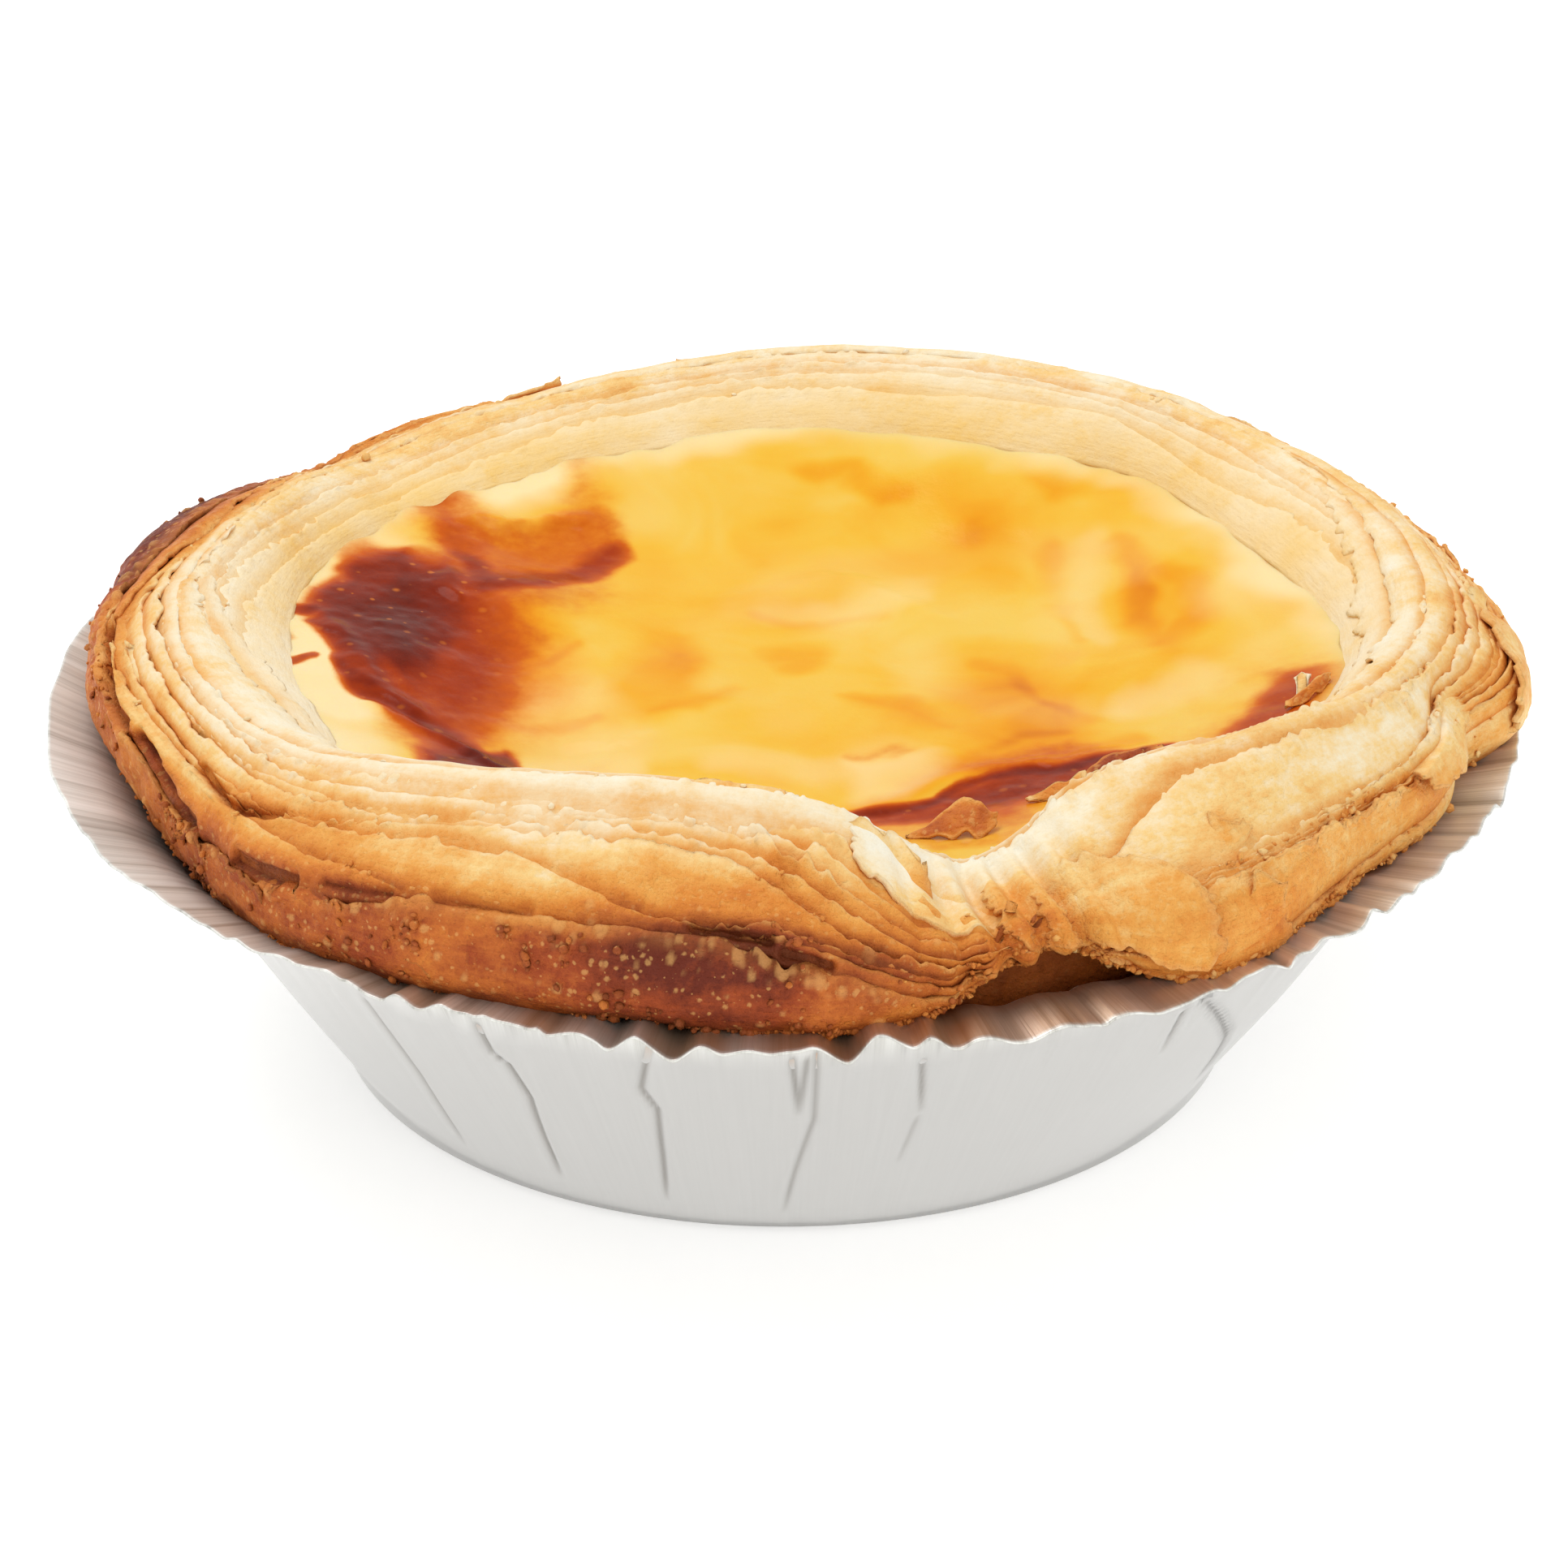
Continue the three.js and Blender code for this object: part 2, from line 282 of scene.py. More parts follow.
# moves the grid's vertices to their places, closes its seams and turns its faces outwards
def rollUp(piece, points):
    piece.data.vertices.foreach_set("co", (points * mm).ravel())
    piece.data.update()
    bpy.ops.object.select_all(action="DESELECT")
    bpy.context.view_layer.objects.active = piece
    piece.select_set(True)
    bpy.ops.object.mode_set(mode="EDIT")
    bpy.ops.mesh.select_all(action="SELECT")
    bpy.ops.mesh.remove_doubles(threshold=0.0000005)
    bpy.ops.mesh.normals_make_consistent(inside=False)
    bpy.ops.object.mode_set(mode="OBJECT")
    bpy.ops.object.shade_smooth()


# gives the active sheet its wall thickness in mm
def thicken(piece, thick, offset):
    gauge = piece.modifiers.new("sheetThickness", "SOLIDIFY")
    gauge.thickness = thick * mm
    gauge.offset = offset
    bpy.ops.object.modifier_apply(modifier="sheetThickness")
    return piece


def joinPieces(name, pieces):
    bpy.ops.object.select_all(action="DESELECT")
    for piece in pieces:
        piece.select_set(True)
    bpy.context.view_layer.objects.active = pieces[0]
    bpy.ops.object.join()
    joined = bpy.context.object
    joined.name = name
    joined.data.name = name
    return joined


def dress(piece, material):
    piece.data.materials.clear()
    piece.data.materials.append(material)
    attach(piece, "root")


# Bright household aluminium, cold rolled and pressed: mirror-like but softened by fine roll lines, so
# it shows as pale grey with soft streaks.
def rolledAluminium():
    material, tree = newMaterial("rolledAluminiumFoil")
    place = addNode(tree, "Attribute", {}, "Vector", attribute_name="rolled")
    shape = addNode(tree, "TexCoord", {}, "Object")
    crease, lip, buttered, pressed = (
        addNode(tree, "Attribute", {}, "Fac", attribute_name=field)
        for field in ("crease", "lip", "buttered", "pressed"))
    # roll lines are a few microns apart; drawn 0.5 mm apart so that they show
    lines = addNode(tree, "TexNoise", {"Scale": 2.0, "Detail": 4.0, "Roughness": 0.6, "Vector": place})
    # hand dents about 6 mm wide
    dents = addNode(tree, "TexNoise", {"Scale": 160.0, "Detail": 2.0, "Roughness": 0.45, "Vector": shape})
    wallGloss = addNode(tree, "MapRange", {"To Min": 0.27, "To Max": 0.33, "Value": lines})
    # the crimping rollers matted the lip
    gloss = addNode(tree, "Math", {0: lip, 1: 0.1, 2: wallGloss}, operation="MULTIPLY_ADD")
    plain = addNode(tree, "ValToRGB", {"Fac": lines}, stops=[(0.3, "cfcecc"), (0.7, "d2d1cf")])
    # streaks that run out along the lip, drawn from the wall by the press
    drawn = addNode(tree, "TexNoise", {"Scale": 0.8, "Detail": 5.0, "Roughness": 0.7, "Vector": place})
    streaked = addNode(tree, "ValToRGB", {"Fac": drawn},
                       stops=[(0.3, "a8a69f"), (0.4, "d0cfc8"), (0.54, "ebebe5"), (0.72, "f9f9f5")])
    tone = addNode(tree, "Mix", {"Factor": lip, "A": plain, "B": streaked}, data_type="RGBA")
    # painted reflection: the brown of the pastry laid on the lip where the pastry lies over it
    tone = addNode(tree, "Mix", {"Factor": buttered, "A": tone, "B": linear("b9854f")}, data_type="RGBA")
    # painted shade: darker along the wall's creases and in the hollows of the lip's folds
    tone = addNode(tree, "Mix", {"Factor": crease, "A": tone, "B": linear("7b746c")}, data_type="RGBA")
    # the lip shows less of the room the more it was pressed flat
    dulled = addNode(tree, "Math", {0: pressed, 1: 0.75, 2: 0.2}, operation="MULTIPLY_ADD")
    lost = addNode(tree, "Math", {0: dulled, 1: lip}, operation="MULTIPLY")
    sheen = addNode(tree, "Math", {0: 1.0, 1: lost}, operation="SUBTRACT")
    lineHeight = addNode(tree, "MapRange", {"To Min": 0.05, "To Max": 1.0, "Value": lip})
    lines = addNode(tree, "Math", {0: lines, 1: lineHeight}, operation="MULTIPLY")
    return finish(material, {"Metallic": sheen, "Base Color": tone, "Roughness": gloss},
                  [(dents, 0.25, 0.0004), (lines, 0.5, 0.00012)])


# Baked puff pastry, hand rolled and oven browned: thin buttery sheets, waxy and smooth where pale, dry
# and blistered where brown.
def bakedPuffPastry():
    material, tree = newMaterial("bakedPuffPastry")
    place = addNode(tree, "Attribute", {}, "Vector", attribute_name="rolled")
    shape = addNode(tree, "TexCoord", {}, "Object")
    bake, torn, trough, grain, soaked = (
        addNode(tree, "Attribute", {}, "Fac", attribute_name=field)
        for field in ("bake", "torn", "trough", "grain", "soaked"))
    # streaks that follow the rolled sheets, about 3 mm long and 0.5 mm high
    streaks = addNode(tree, "TexNoise", {"Scale": 0.38, "Detail": 5.0, "Roughness": 0.62, "Vector": place})
    # the rolled leaves themselves, fine lines about 3 mm long and 0.2 mm apart
    laid = addNode(tree, "Mapping", {"Scale": (1.0, 1.0, 3.2), "Vector": place})
    leaves = addNode(tree, "TexNoise", {"Scale": 0.4, "Detail": 3.0, "Roughness": 0.6, "Vector": laid})
    # oven blotches about 5 mm wide, mottling of 1 mm and crumb of 0.3 mm
    blotches, mottle, crumb = (
        addNode(tree, "TexNoise", {"Scale": size, "Detail": detail, "Roughness": rough, "Vector": shape})
        for size, detail, rough in ((210.0, 3.0, 0.55), (950.0, 4.0, 0.65), (2600.0, 3.0, 0.7)))
    shift = bake
    for source, by in ((streaks, 0.04), (leaves, 0.02), (blotches, 0.07), (mottle, 0.05), (crumb, 0.035)):
        about = addNode(tree, "MapRange", {"From Min": 0.3, "From Max": 0.7, "To Min": -by, "To Max": by,
                                           "Value": source}, clamp=False)
        shift = addNode(tree, "Math", {0: shift, 1: about}, operation="ADD")
    tone = addNode(tree, "ValToRGB", {"Fac": shift},
                   stops=[(0.0, "f4eeda"), (0.14, "f3e3c0"), (0.28, "f1cb84"), (0.42, "eaa650"),
                          (0.56, "de8836"), (0.7, "c76c2d"), (0.84, "a04722"), (1.0, "6b2a19")])
    # dry pale blisters on the crust, 0.1 to 0.6 mm wide, each with its own size
    bent = addNode(tree, "VectorMath", {0: mottle, 1: (0.0006, 0.0006, 0.0006), 2: shape},
                   operation="MULTIPLY_ADD")
    dots = 0.0
    for scale, small, large in ((820.0, 0.04, 0.27), (1500.0, 0.06, 0.36), (2300.0, 0.06, 0.42)):
        dots = addNode(tree, "Math", {0: dots, 1: blisters(tree, bent, scale, 0.35, small, large, 0.45)},
                       operation="MAXIMUM")
    # the pale sheets are waxy and smooth, the brown ones dry and rough
    dry = addNode(tree, "MapRange", {"From Min": 0.15, "From Max": 0.5, "Value": bake},
                  interpolation_type="SMOOTHSTEP")
    dots = addNode(tree, "Math", {0: dots, 1: dry}, operation="MULTIPLY")
    raised = addNode(tree, "Math", {0: dots, 1: grain}, operation="MAXIMUM")
    browned = addNode(tree, "MapRange", {"From Min": 0.2, "From Max": 0.6, "To Min": 0.0, "To Max": 0.42,
                                         "Value": shift})
    share = addNode(tree, "Math", {0: raised, 1: browned}, operation="MULTIPLY")
    tone = addNode(tree, "Mix", {"Factor": share, "A": tone, "B": linear("ecb56c")}, data_type="RGBA")
    # painted shade: golden-brown where a sheet comes out from behind the next, on undersides and in cracks,
    # and in every hollow that the ambient occlusion finds
    troughShadeTone = addNode(tree, "ValToRGB", {"Fac": shift},
                    stops=[(0.05, "ebc381"), (0.25, "e49e4c"), (0.45, "d87e2d"), (0.65, "a9571f"),
                           (0.9, "6a3214")])
    hollows = addNode(tree, "AmbientOcclusion", {"Distance": 0.0014}, "AO", samples=3)
    shut = addNode(tree, "MapRange", {"From Min": 0.78, "From Max": 0.16, "To Max": 0.92, "Value": hollows},
                   interpolation_type="SMOOTHSTEP")
    part = addNode(tree, "Math", {0: trough, 1: 0.85}, operation="MULTIPLY")
    share = addNode(tree, "Math", {0: part, 1: shut}, operation="MAXIMUM")
    tone = addNode(tree, "Mix", {"Factor": share, "A": tone, "B": troughShadeTone}, data_type="RGBA")
    # torn edges are dry and paler than the face they end
    share = addNode(tree, "Math", {0: torn, 1: 0.6}, operation="MULTIPLY")
    tornTone = addNode(tree, "ValToRGB", {"Fac": shift},
                       stops=[(0.1, "f3e6c8"), (0.4, "eec988"), (0.65, "e3a254"), (0.9, "c9803f")])
    tone = addNode(tree, "Mix", {"Factor": share, "A": tone, "B": tornTone}, data_type="RGBA")
    share = addNode(tree, "Math", {0: soaked, 1: 0.8}, operation="MULTIPLY")
    tone = addNode(tree, "Mix", {"Factor": share, "A": tone, "B": linear("f1c76e")}, data_type="RGBA")
    rough = addNode(tree, "MapRange", {"To Min": 0.3, "To Max": 1.0, "Value": dry})
    mottled, crumbled = (
        addNode(tree, "Math", {0: lumps, 1: rough}, operation="MULTIPLY") for lumps in (mottle, crumb))
    gloss = addNode(tree, "MapRange", {"From Min": 0.3, "From Max": 0.7, "To Min": 0.45, "To Max": 0.7,
                                       "Value": mottle})
    return finish(material, {"IOR": 1.42, "Specular IOR Level": 0.22, "Base Color": tone, "Roughness": gloss},
                  [(streaks, 0.4, 0.0002), (mottled, 0.7, 0.0004), (crumbled, 0.8, 0.00022),
                   (leaves, 0.35, 0.00015)])


# Egg custard set in a hot oven: a wet skin over a soft cream, with caramel scorches.
def bakedCustard():
    material, tree = newMaterial("bakedEggCustard")
    shape = addNode(tree, "TexCoord", {}, "Object")
    amber, pale, scorch, sugared = (
        addNode(tree, "Attribute", {}, "Fac", attribute_name=field)
        for field in ("amber", "pale", "scorch", "sugar"))
    # slow swirls of 8 mm in the cream, and specks of 0.5 mm
    swirls = addNode(tree, "TexNoise", {"Scale": 120.0, "Detail": 3.0, "Roughness": 0.5, "Distortion": 1.2,
                                        "Vector": shape})
    specks = addNode(tree, "TexNoise", {"Scale": 1300.0, "Detail": 3.0, "Roughness": 0.6, "Vector": shape})
    swirlShift, speckShift = (
        addNode(tree, "MapRange", {"From Min": 0.3, "From Max": 0.7, "To Min": -by, "To Max": by,
                                   "Value": source}, clamp=False)
        for source, by in ((swirls, 0.12), (specks, 0.03)))
    warm = addNode(tree, "Math", {0: amber, 1: swirlShift}, operation="ADD")
    burnt = addNode(tree, "Math", {0: scorch, 1: speckShift}, operation="ADD")
    cream = addNode(tree, "ValToRGB", {"Fac": warm},
                    stops=[(0.0, "ecc458"), (0.2, "ecb93c"), (0.4, "ebab27"), (0.62, "e99c17"),
                           (0.82, "e08812"), (1.0, "cf6f0c")])
    tone = addNode(tree, "Mix", {"Factor": pale, "A": cream, "B": linear("f4dca4")}, data_type="RGBA")
    caramel = addNode(tree, "ValToRGB", {"Fac": burnt},
                      stops=[(0.06, "efa325"), (0.22, "e07d12"), (0.4, "c7590c"), (0.58, "a4380a"),
                             (0.76, "7e240c"), (1.0, "4c140c")])
    share = addNode(tree, "MapRange", {"From Min": 0.03, "From Max": 0.4, "Value": burnt},
                    interpolation_type="SMOOTHSTEP")
    tone = addNode(tree, "Mix", {"Factor": share, "A": tone, "B": caramel}, data_type="RGBA")
    # golden sugar specks in the scorched skin, 0.2 to 0.5 mm wide
    share = addNode(tree, "Math", {0: blisters(tree, shape, 1000.0, 0.4, 0.02, 0.4, 0.3, 0.7), 1: sugared},
                    operation="MULTIPLY")
    tone = addNode(tree, "Mix", {"Factor": share, "A": tone, "B": linear("e07c22")}, data_type="RGBA")
    gloss = addNode(tree, "MapRange", {"From Min": 0.3, "From Max": 0.7, "To Min": 0.12, "To Max": 0.24,
                                       "Value": swirls})
    return finish(material, {"IOR": 1.4, "Specular IOR Level": 0.09, "Subsurface Weight": 0.25,
                             "Base Color": tone, "Subsurface Radius": (1.0, 0.6, 0.2),
                             "Subsurface Scale": 0.0015, "Roughness": gloss},
                  [(specks, 0.25, 0.00012)])


foilMaterial = rolledAluminium()
pastryMaterial = bakedPuffPastry()
custardMaterial = bakedCustard()
print("materials made")

# Foil case
foilCase = {
    "around": 1400,
    "gauge": .12,  # mm, foil with its lacquer
    "outside": [(24.3, .0), (25.21, .455), (25.6, 1.56), (30.05, 8.24), (34.5, 15.2)],
    # the lip from the throat to its edge: rising, as on the left, or lying nearly flat, as at the front
    "risingLip": [(34.5, 15.2), (35.5, 16.4), (36.8, 17.5), (38.6, 18.7), (41.45, 19.9)],
    "flatLip": [(34.5, 15.2), (35.3, 17.2), (35.9, 18.8), (36.7, 19.6), (38.2, 19.9), (41.45, 19.95)],
    "flatness": [(-180, .0), (-150, .1), (-125, .6), (-105, 1.0), (-50, 1.0), (-28, .6), (0, .3), (60, .5),
                 (140, .2)],
    "pleats": 88,
    "pleatHeight": .46,
    "dent": (-28, 34, .45),
    # sharp creases pressed into the wall: points of azimuth and height, then depth in mm
    "creases": [
        ([(-130.6, 15), (-130.4, 8.6), (-132.1, 2.6)], .22),
        ([(-117.7, 15.8), (-117.6, 13.7), (-116.3, 12.9), (-115.8, 10.1), (-116.8, 6.3), (-117.5, 2.7)], .3),
        ([(-101.6, 16.5), (-103.3, 12.7), (-102.2, 11.0), (-103.1, 6.2), (-104.0, 2.6)], .3),
        ([(-89.3, 16.0), (-88.6, 11.4)], .3),
        ([(-88.0, 16.0), (-88.6, 11.4)], .25),
        ([(-87.2, 16.5), (-87.1, 10.7), (-88.9, 5.4), (-89.9, 2.0)], .22),
        ([(-77.9, 15.4), (-76.8, 11.0)], .28),
        ([(-76.9, 10.0), (-77.6, 6.2)], .14),
        ([(-52.0, 14.8), (-51.0, 11.4)], .25),
        ([(-50.5, 15.5), (-39.5, 9.4), (-34.8, 4.6)], .2),
        ([(12, 15.6), (14.5, 9.0), (13.0, 3.5)], .24),
        ([(37, 15.8), (38, 12.0), (35.5, 7.0)], .28),
        ([(58, 15.0), (61, 5.0)], .2),
        ([(83, 15.8), (82, 11.5), (84.5, 3.0)], .28),
        ([(104, 15.4), (105, 8.5)], .2),
        ([(127, 15.8), (125, 12.5), (126.5, 4.0)], .28),
        ([(151, 15.2), (149, 7.0), (150.5, 2.8)], .22),
        ([(172, 15.6), (174, 9.5)], .26),
        ([(-158, 15.4), (-156, 10.5), (-157.5, 3.8)], .24),
    ],
}


# heights of the lip's crimps round the case: uneven rounded folds, each a rise and a fall
def crimps(deg, seed):
    random = np.random.default_rng(seed)
    count = foilCase["pleats"] * 2
    widths = np.exp(random.normal(0, 0.5, count))
    at = np.concatenate([[0], np.cumsum(widths) / widths.sum() * 360])
    upOrDown = np.where(np.arange(count) % 2, -1, 1)
    heights = random.uniform(0.05, 1.25, count) * upOrDown * np.minimum(widths, 1.2) ** 0.6
    heights = np.concatenate([heights, heights[:1]])
    turn = deg % 360
    k = np.clip(np.searchsorted(at, turn, side="right") - 1, 0, count - 1)
    share = (turn - at[k]) / (at[k + 1] - at[k])
    return mix(heights[k], heights[k + 1], mix(share, smooth(share), 0.85))


# The case's section as (radius, height, share of the lip, 1 for the outside): out over the base, up the wall,
# along the lip's lower side, back over its upper side, and down inside where the pastry hides it.
def foilRows():
    corner = [np.array(spot) for spot in foilCase["outside"]]
    rows = [(r, 0.0, 0, 1) for r in (0.0, 7.0, 13.0, 14.0, 20.0, 21.0)]
    rows += [(spot[0], spot[1], 0, 1) for spot in corner[:3]]
    for low, high, count in ((corner[2], corner[3], 14), (corner[3], corner[4], 15)):
        for t in np.linspace(1 / count, 1, count):
            rows.append((*mix(low, high, t), 0, 1))
    throat = corner[4]
    rows += [(throat[0], throat[1], t, 1) for t in np.linspace(1 / 14, 1, 14)]
    backShares = (1, 0.985, 0.955, 0.91, 0.84, 0.76, 0.67, 0.55, 0.38, 0.18, 0)
    rows += [(throat[0], throat[1], t, 0) for t in backShares]
    inner = ((33.7, 14.6), (29.7, 8.24), (25.2, 1.6), (24.4, 0.45), (0.0, 0.45))
    rows += [(r, z, 0, 0) for r, z in inner]
    return np.array(rows)


# radius and height of the lip's lower side: share 0 is the throat, 1 the edge
def lipSpot(deg, share):
    places = []
    for lip in (foilCase["risingLip"], foilCase["flatLip"]):
        spots = np.array(lip)
        along = np.concatenate([[0], np.cumsum(np.hypot(*np.diff(spots, axis=0).T))])
        places.append([np.interp(share, along / along[-1], spots[:, k]) for k in (0, 1)])
    flat = aroundTart(deg, foilCase["flatness"], 8)
    return [mix(rising, level, flat) for rising, level in zip(*places)]


def buildFoil():
    rows = foilRows()
    around = foilCase["around"]
    piece, column, row = newGrid("foilCase", around, len(rows) - 1)
    r, height, share, outer = rows[row].T
    deg = (column % around) * 360.0 / around
    flat = aroundTart(deg, foilCase["flatness"], 8)
    lipR, lipZ = lipSpot(deg, share)
    r = np.where(share > 0, lipR, r)
    z = np.where(share > 0, lipZ, height)

    # two families of folds, so that the crimps change shape from the throat to the edge
    fine = crimps(deg, 5)
    coarse = crimps(deg + 1.1, 9)
    uneven = 0.85 + 0.3 * np.sin(np.radians(deg * 3 + 40)) + 0.25 * np.sin(np.radians(deg * 7 + 10))
    # pressed flatter on the left, and a little on the right
    calm = 1 - 0.88 * np.minimum(1, 1.3 * hump(deg, -166, 40)) - 0.3 * hump(deg, -15, 15)
    pleat = foilCase["pleatHeight"] * uneven * calm
    lift = pleat * (fine * share ** 0.5 + 0.45 * coarse * share ** 1.6)
    ring = toPoints(deg, rimRadius, 0 * deg)
    lift = lift + 0.06 * share ** 0.5 * noise(ring, 0.8, 14) + 0.05 * share ** 0.5 * noise(ring, 1.7, 15)
    slope = np.radians(mix(32, 14, flat))
    z = z + lift * np.cos(slope)
    r = r - lift * np.sin(slope) * 0.7
    # the lip's upper side lies one gauge above its lower side
    upper = (outer == 0) & (height > 15)
    z = z + foilCase["gauge"] * np.cos(slope) * upper
    r = r - foilCase["gauge"] * np.sin(slope) * upper
    r = r + share ** 3 * (0.22 * noise(ring, 9.0, 3) + 0.14 * noise(ring, 3.0, 4) - 0.35)
    z = z + share ** 2 * 0.3 * noise(ring, 16.0, 6)

    # the wall: crimps die out below the throat, then soft dents and sharp creases
    below = np.clip((height - 8.5) / 6.7, 0, 1) * (share == 0) * outer
    r = r + 0.10 * fine * below ** 2.5
    at, width, by = foilCase["dent"]
    r = r + by * hump(deg, at, width) * smooth(z / 10) * smooth((19.5 - z) / 5)
    wall = ramp(z, 0.6, 3) * (1 - ramp(z, 13, 17)) * outer
    arc = toPoints(deg, 30, z * 0.5)
    r = r + wall * (0.10 * noise(arc, 9.0, 12) + 0.05 * noise(arc, 4.0, 13))
    # painted shade along each pressed crease, carried to the material
    crease = np.zeros(len(deg))
    for line, depth in foilCase["creases"]:
        middle = np.mean([p[0] for p in line])
        near = np.abs(turnFrom(deg, middle)) < 25
        x = np.radians(turnFrom(deg[near], middle)) * 30
        mark = [(math.radians(p[0] - middle) * 30, p[1]) for p in line]
        away = strokeDistance(x, z[near], mark)
        # pressed in at the line and stood up beside it
        wide = 1 + 0.5 * (abs((middle + 90 + 180) % 360 - 180) > 60)  # softer where it is seen from the side
        away = away / wide
        side = np.exp(-((away - 0.5) / 0.3) ** 2) * 0.35
        bottom = line[-1][1]
        fade = ramp(z[near], bottom - 1.5, bottom + 2.0) * (share[near] < 0.3) * outer[near]
        r[near] += 0.7 * depth * fade * (side - np.exp(-(away / 0.22) ** 2))
        crease[near] = np.maximum(crease[near], fade * depth * 2.2 * np.exp(-(away / 0.16) ** 2))

    # shallow ring pressed into the base
    z = z + np.where((row >= 3) & (row <= 4), 0.35, 0)
    points = toPoints(deg, np.maximum(r, 0), z)
    # painted shade in the hollows between the lip's crimps
    crease = crease + share * ramp(-fine - 0.6 * coarse, 0.4, 1.5) * 0.4 * calm * (share < 0.97)
    # soft folds where it was pressed flat, with painted shade in their hollows
    broad = noise(toPoints(deg, rimRadius, share * 1.5), 4.5, 17)
    flattened = hump(deg, -155, 40)
    points[:, 2] += 0.35 * flattened * share * broad
    crease = crease + 0.5 * flattened * share ** 0.5 * ramp(-broad, 0.1, 0.7) * ramp(share, 0.1, 0.5)
    # the darkening along creases is painted shade, and the brown tint on the lip's upper side a painted
    # reflection of the pastry lying over it
    paint(piece, rolled=toPoints(deg, 60, height * 0.06),
          crease=np.clip(crease, 0, 0.9), lip=smooth(share * 3),
          pressed=share ** 0.5 * np.clip(1.15 * hump(deg, -165, 46) + 0.6 * hump(deg, -20, 28), 0, 1),
          buttered=(outer == 0) * ramp(share, 0, 0.1) * (1 - 0.9 * ramp(share, 0.95, 0.99))
          * np.clip(0.86 - 0.86 * hump(deg, -168, 44) - 0.6 * hump(deg, -20, 34), 0, 1)
          * (0.5 + 0.5 * ramp(noise(ring, 2.0, 18), -0.6, 0.5)))
    rollUp(piece, points)
    dress(piece, foilMaterial)
    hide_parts("foil_case")
    return piece


# height of the lip's upper side at each radius
def lipHeight(deg, r):
    reached = [lipSpot(deg, share) for share in np.linspace(0, 1, 12)]
    height = reached[0][1] + 0 * r
    for (r0, z0), (r1, z1) in zip(reached[:-1], reached[1:]):
        height = np.where(r > r0, mix(z0, z1, np.clip((r - r0) / (r1 - r0), 0, 1)), height)
    return height + foilCase["gauge"]


foilPiece = buildFoil()
print("foil case made", len(foilPiece.data.polygons), "faces")

# Pastry: how brown it baked
browning = {
    # round the outer band, low on the rim
    "band": [(-180, .68), (-165, .71), (-152, .73), (-140, .73), (-125, .75), (-110, .77), (-95, .86),
             (-86, .72), (-78, .58), (-70, .52), (-62, .46), (-50, .46), (-35, .44), (-22, .36), (-12, .3),
             (0, .32), (15, .52), (60, .52), (100, .55), (130, .58), (145, .62), (160, .63), (172, .65)],
    # the layers above it, below the crest
    "layers": [(-180, .3), (-165, .34), (-150, .4), (-135, .42), (-120, .4), (-105, .44), (-90, .48),
               (-78, .46), (-66, .34), (-50, .33), (-30, .24), (-15, .28), (0, .32), (20, .36), (60, .34),
               (110, .36), (130, .4), (142, .54), (154, .58), (166, .5)],
    # the crest and the inner slope
    "crest": [(-180, .16), (-150, .13), (-125, .13), (-105, .08), (-95, .08), (-84, .1), (-72, .12),
              (-60, .14), (-45, .22), (-25, .25), (0, .17), (30, .2), (90, .23), (130, .26), (160, .22)],
    # places: azimuth, width, share, width of share, amount
    "spots": [
        (-112, 13, .56, .06, -.06), (-47, 8, .52, .08, .08),
        (-95, 6, .31, .06, .4), (-104, 9, .25, .08, .04), (-98, 7, .47, .04, .05),
        (-119, 9, .47, .03, -.1), (-128, 12, .56, .03, .06), (-104, 9, .41, .035, .08),
        (-95, 8, .66, .04, .03), (-84, 4, .6, .05, .08), (-78, 3, .55, .07, .1),
        (-60, 4, .35, .12, -.02), (-48, 9, .47, .07, -.04), (-31, 10, .5, .12, -.15),
        (-160, 10, .36, .03, .12), (172, 8, .5, .05, .1),
    ],
}


def browned(deg, share):
    band = aroundTart(deg, browning["band"], 5)
    layers = aroundTart(deg, browning["layers"], 5)
    crest = aroundTart(deg, browning["crest"], 5)
    bake = mix(band, layers, ramp(share, 0.3, 0.44))
    bake = mix(bake, crest, ramp(share, 0.46, 0.64))
    bake = mix(bake, crest * 0.6, ramp(share, 0.7, 0.86))
    for at, width, place, tall, by in browning["spots"]:
        bake = bake + by * hump(deg, at, width) * np.exp(-((share - place) / tall) ** 2)
    return bake + 0.05 * rimNoise(deg, share, 6.0, 31) + 0.04 * rimNoise(deg, share, 2.2, 32, 2.0)


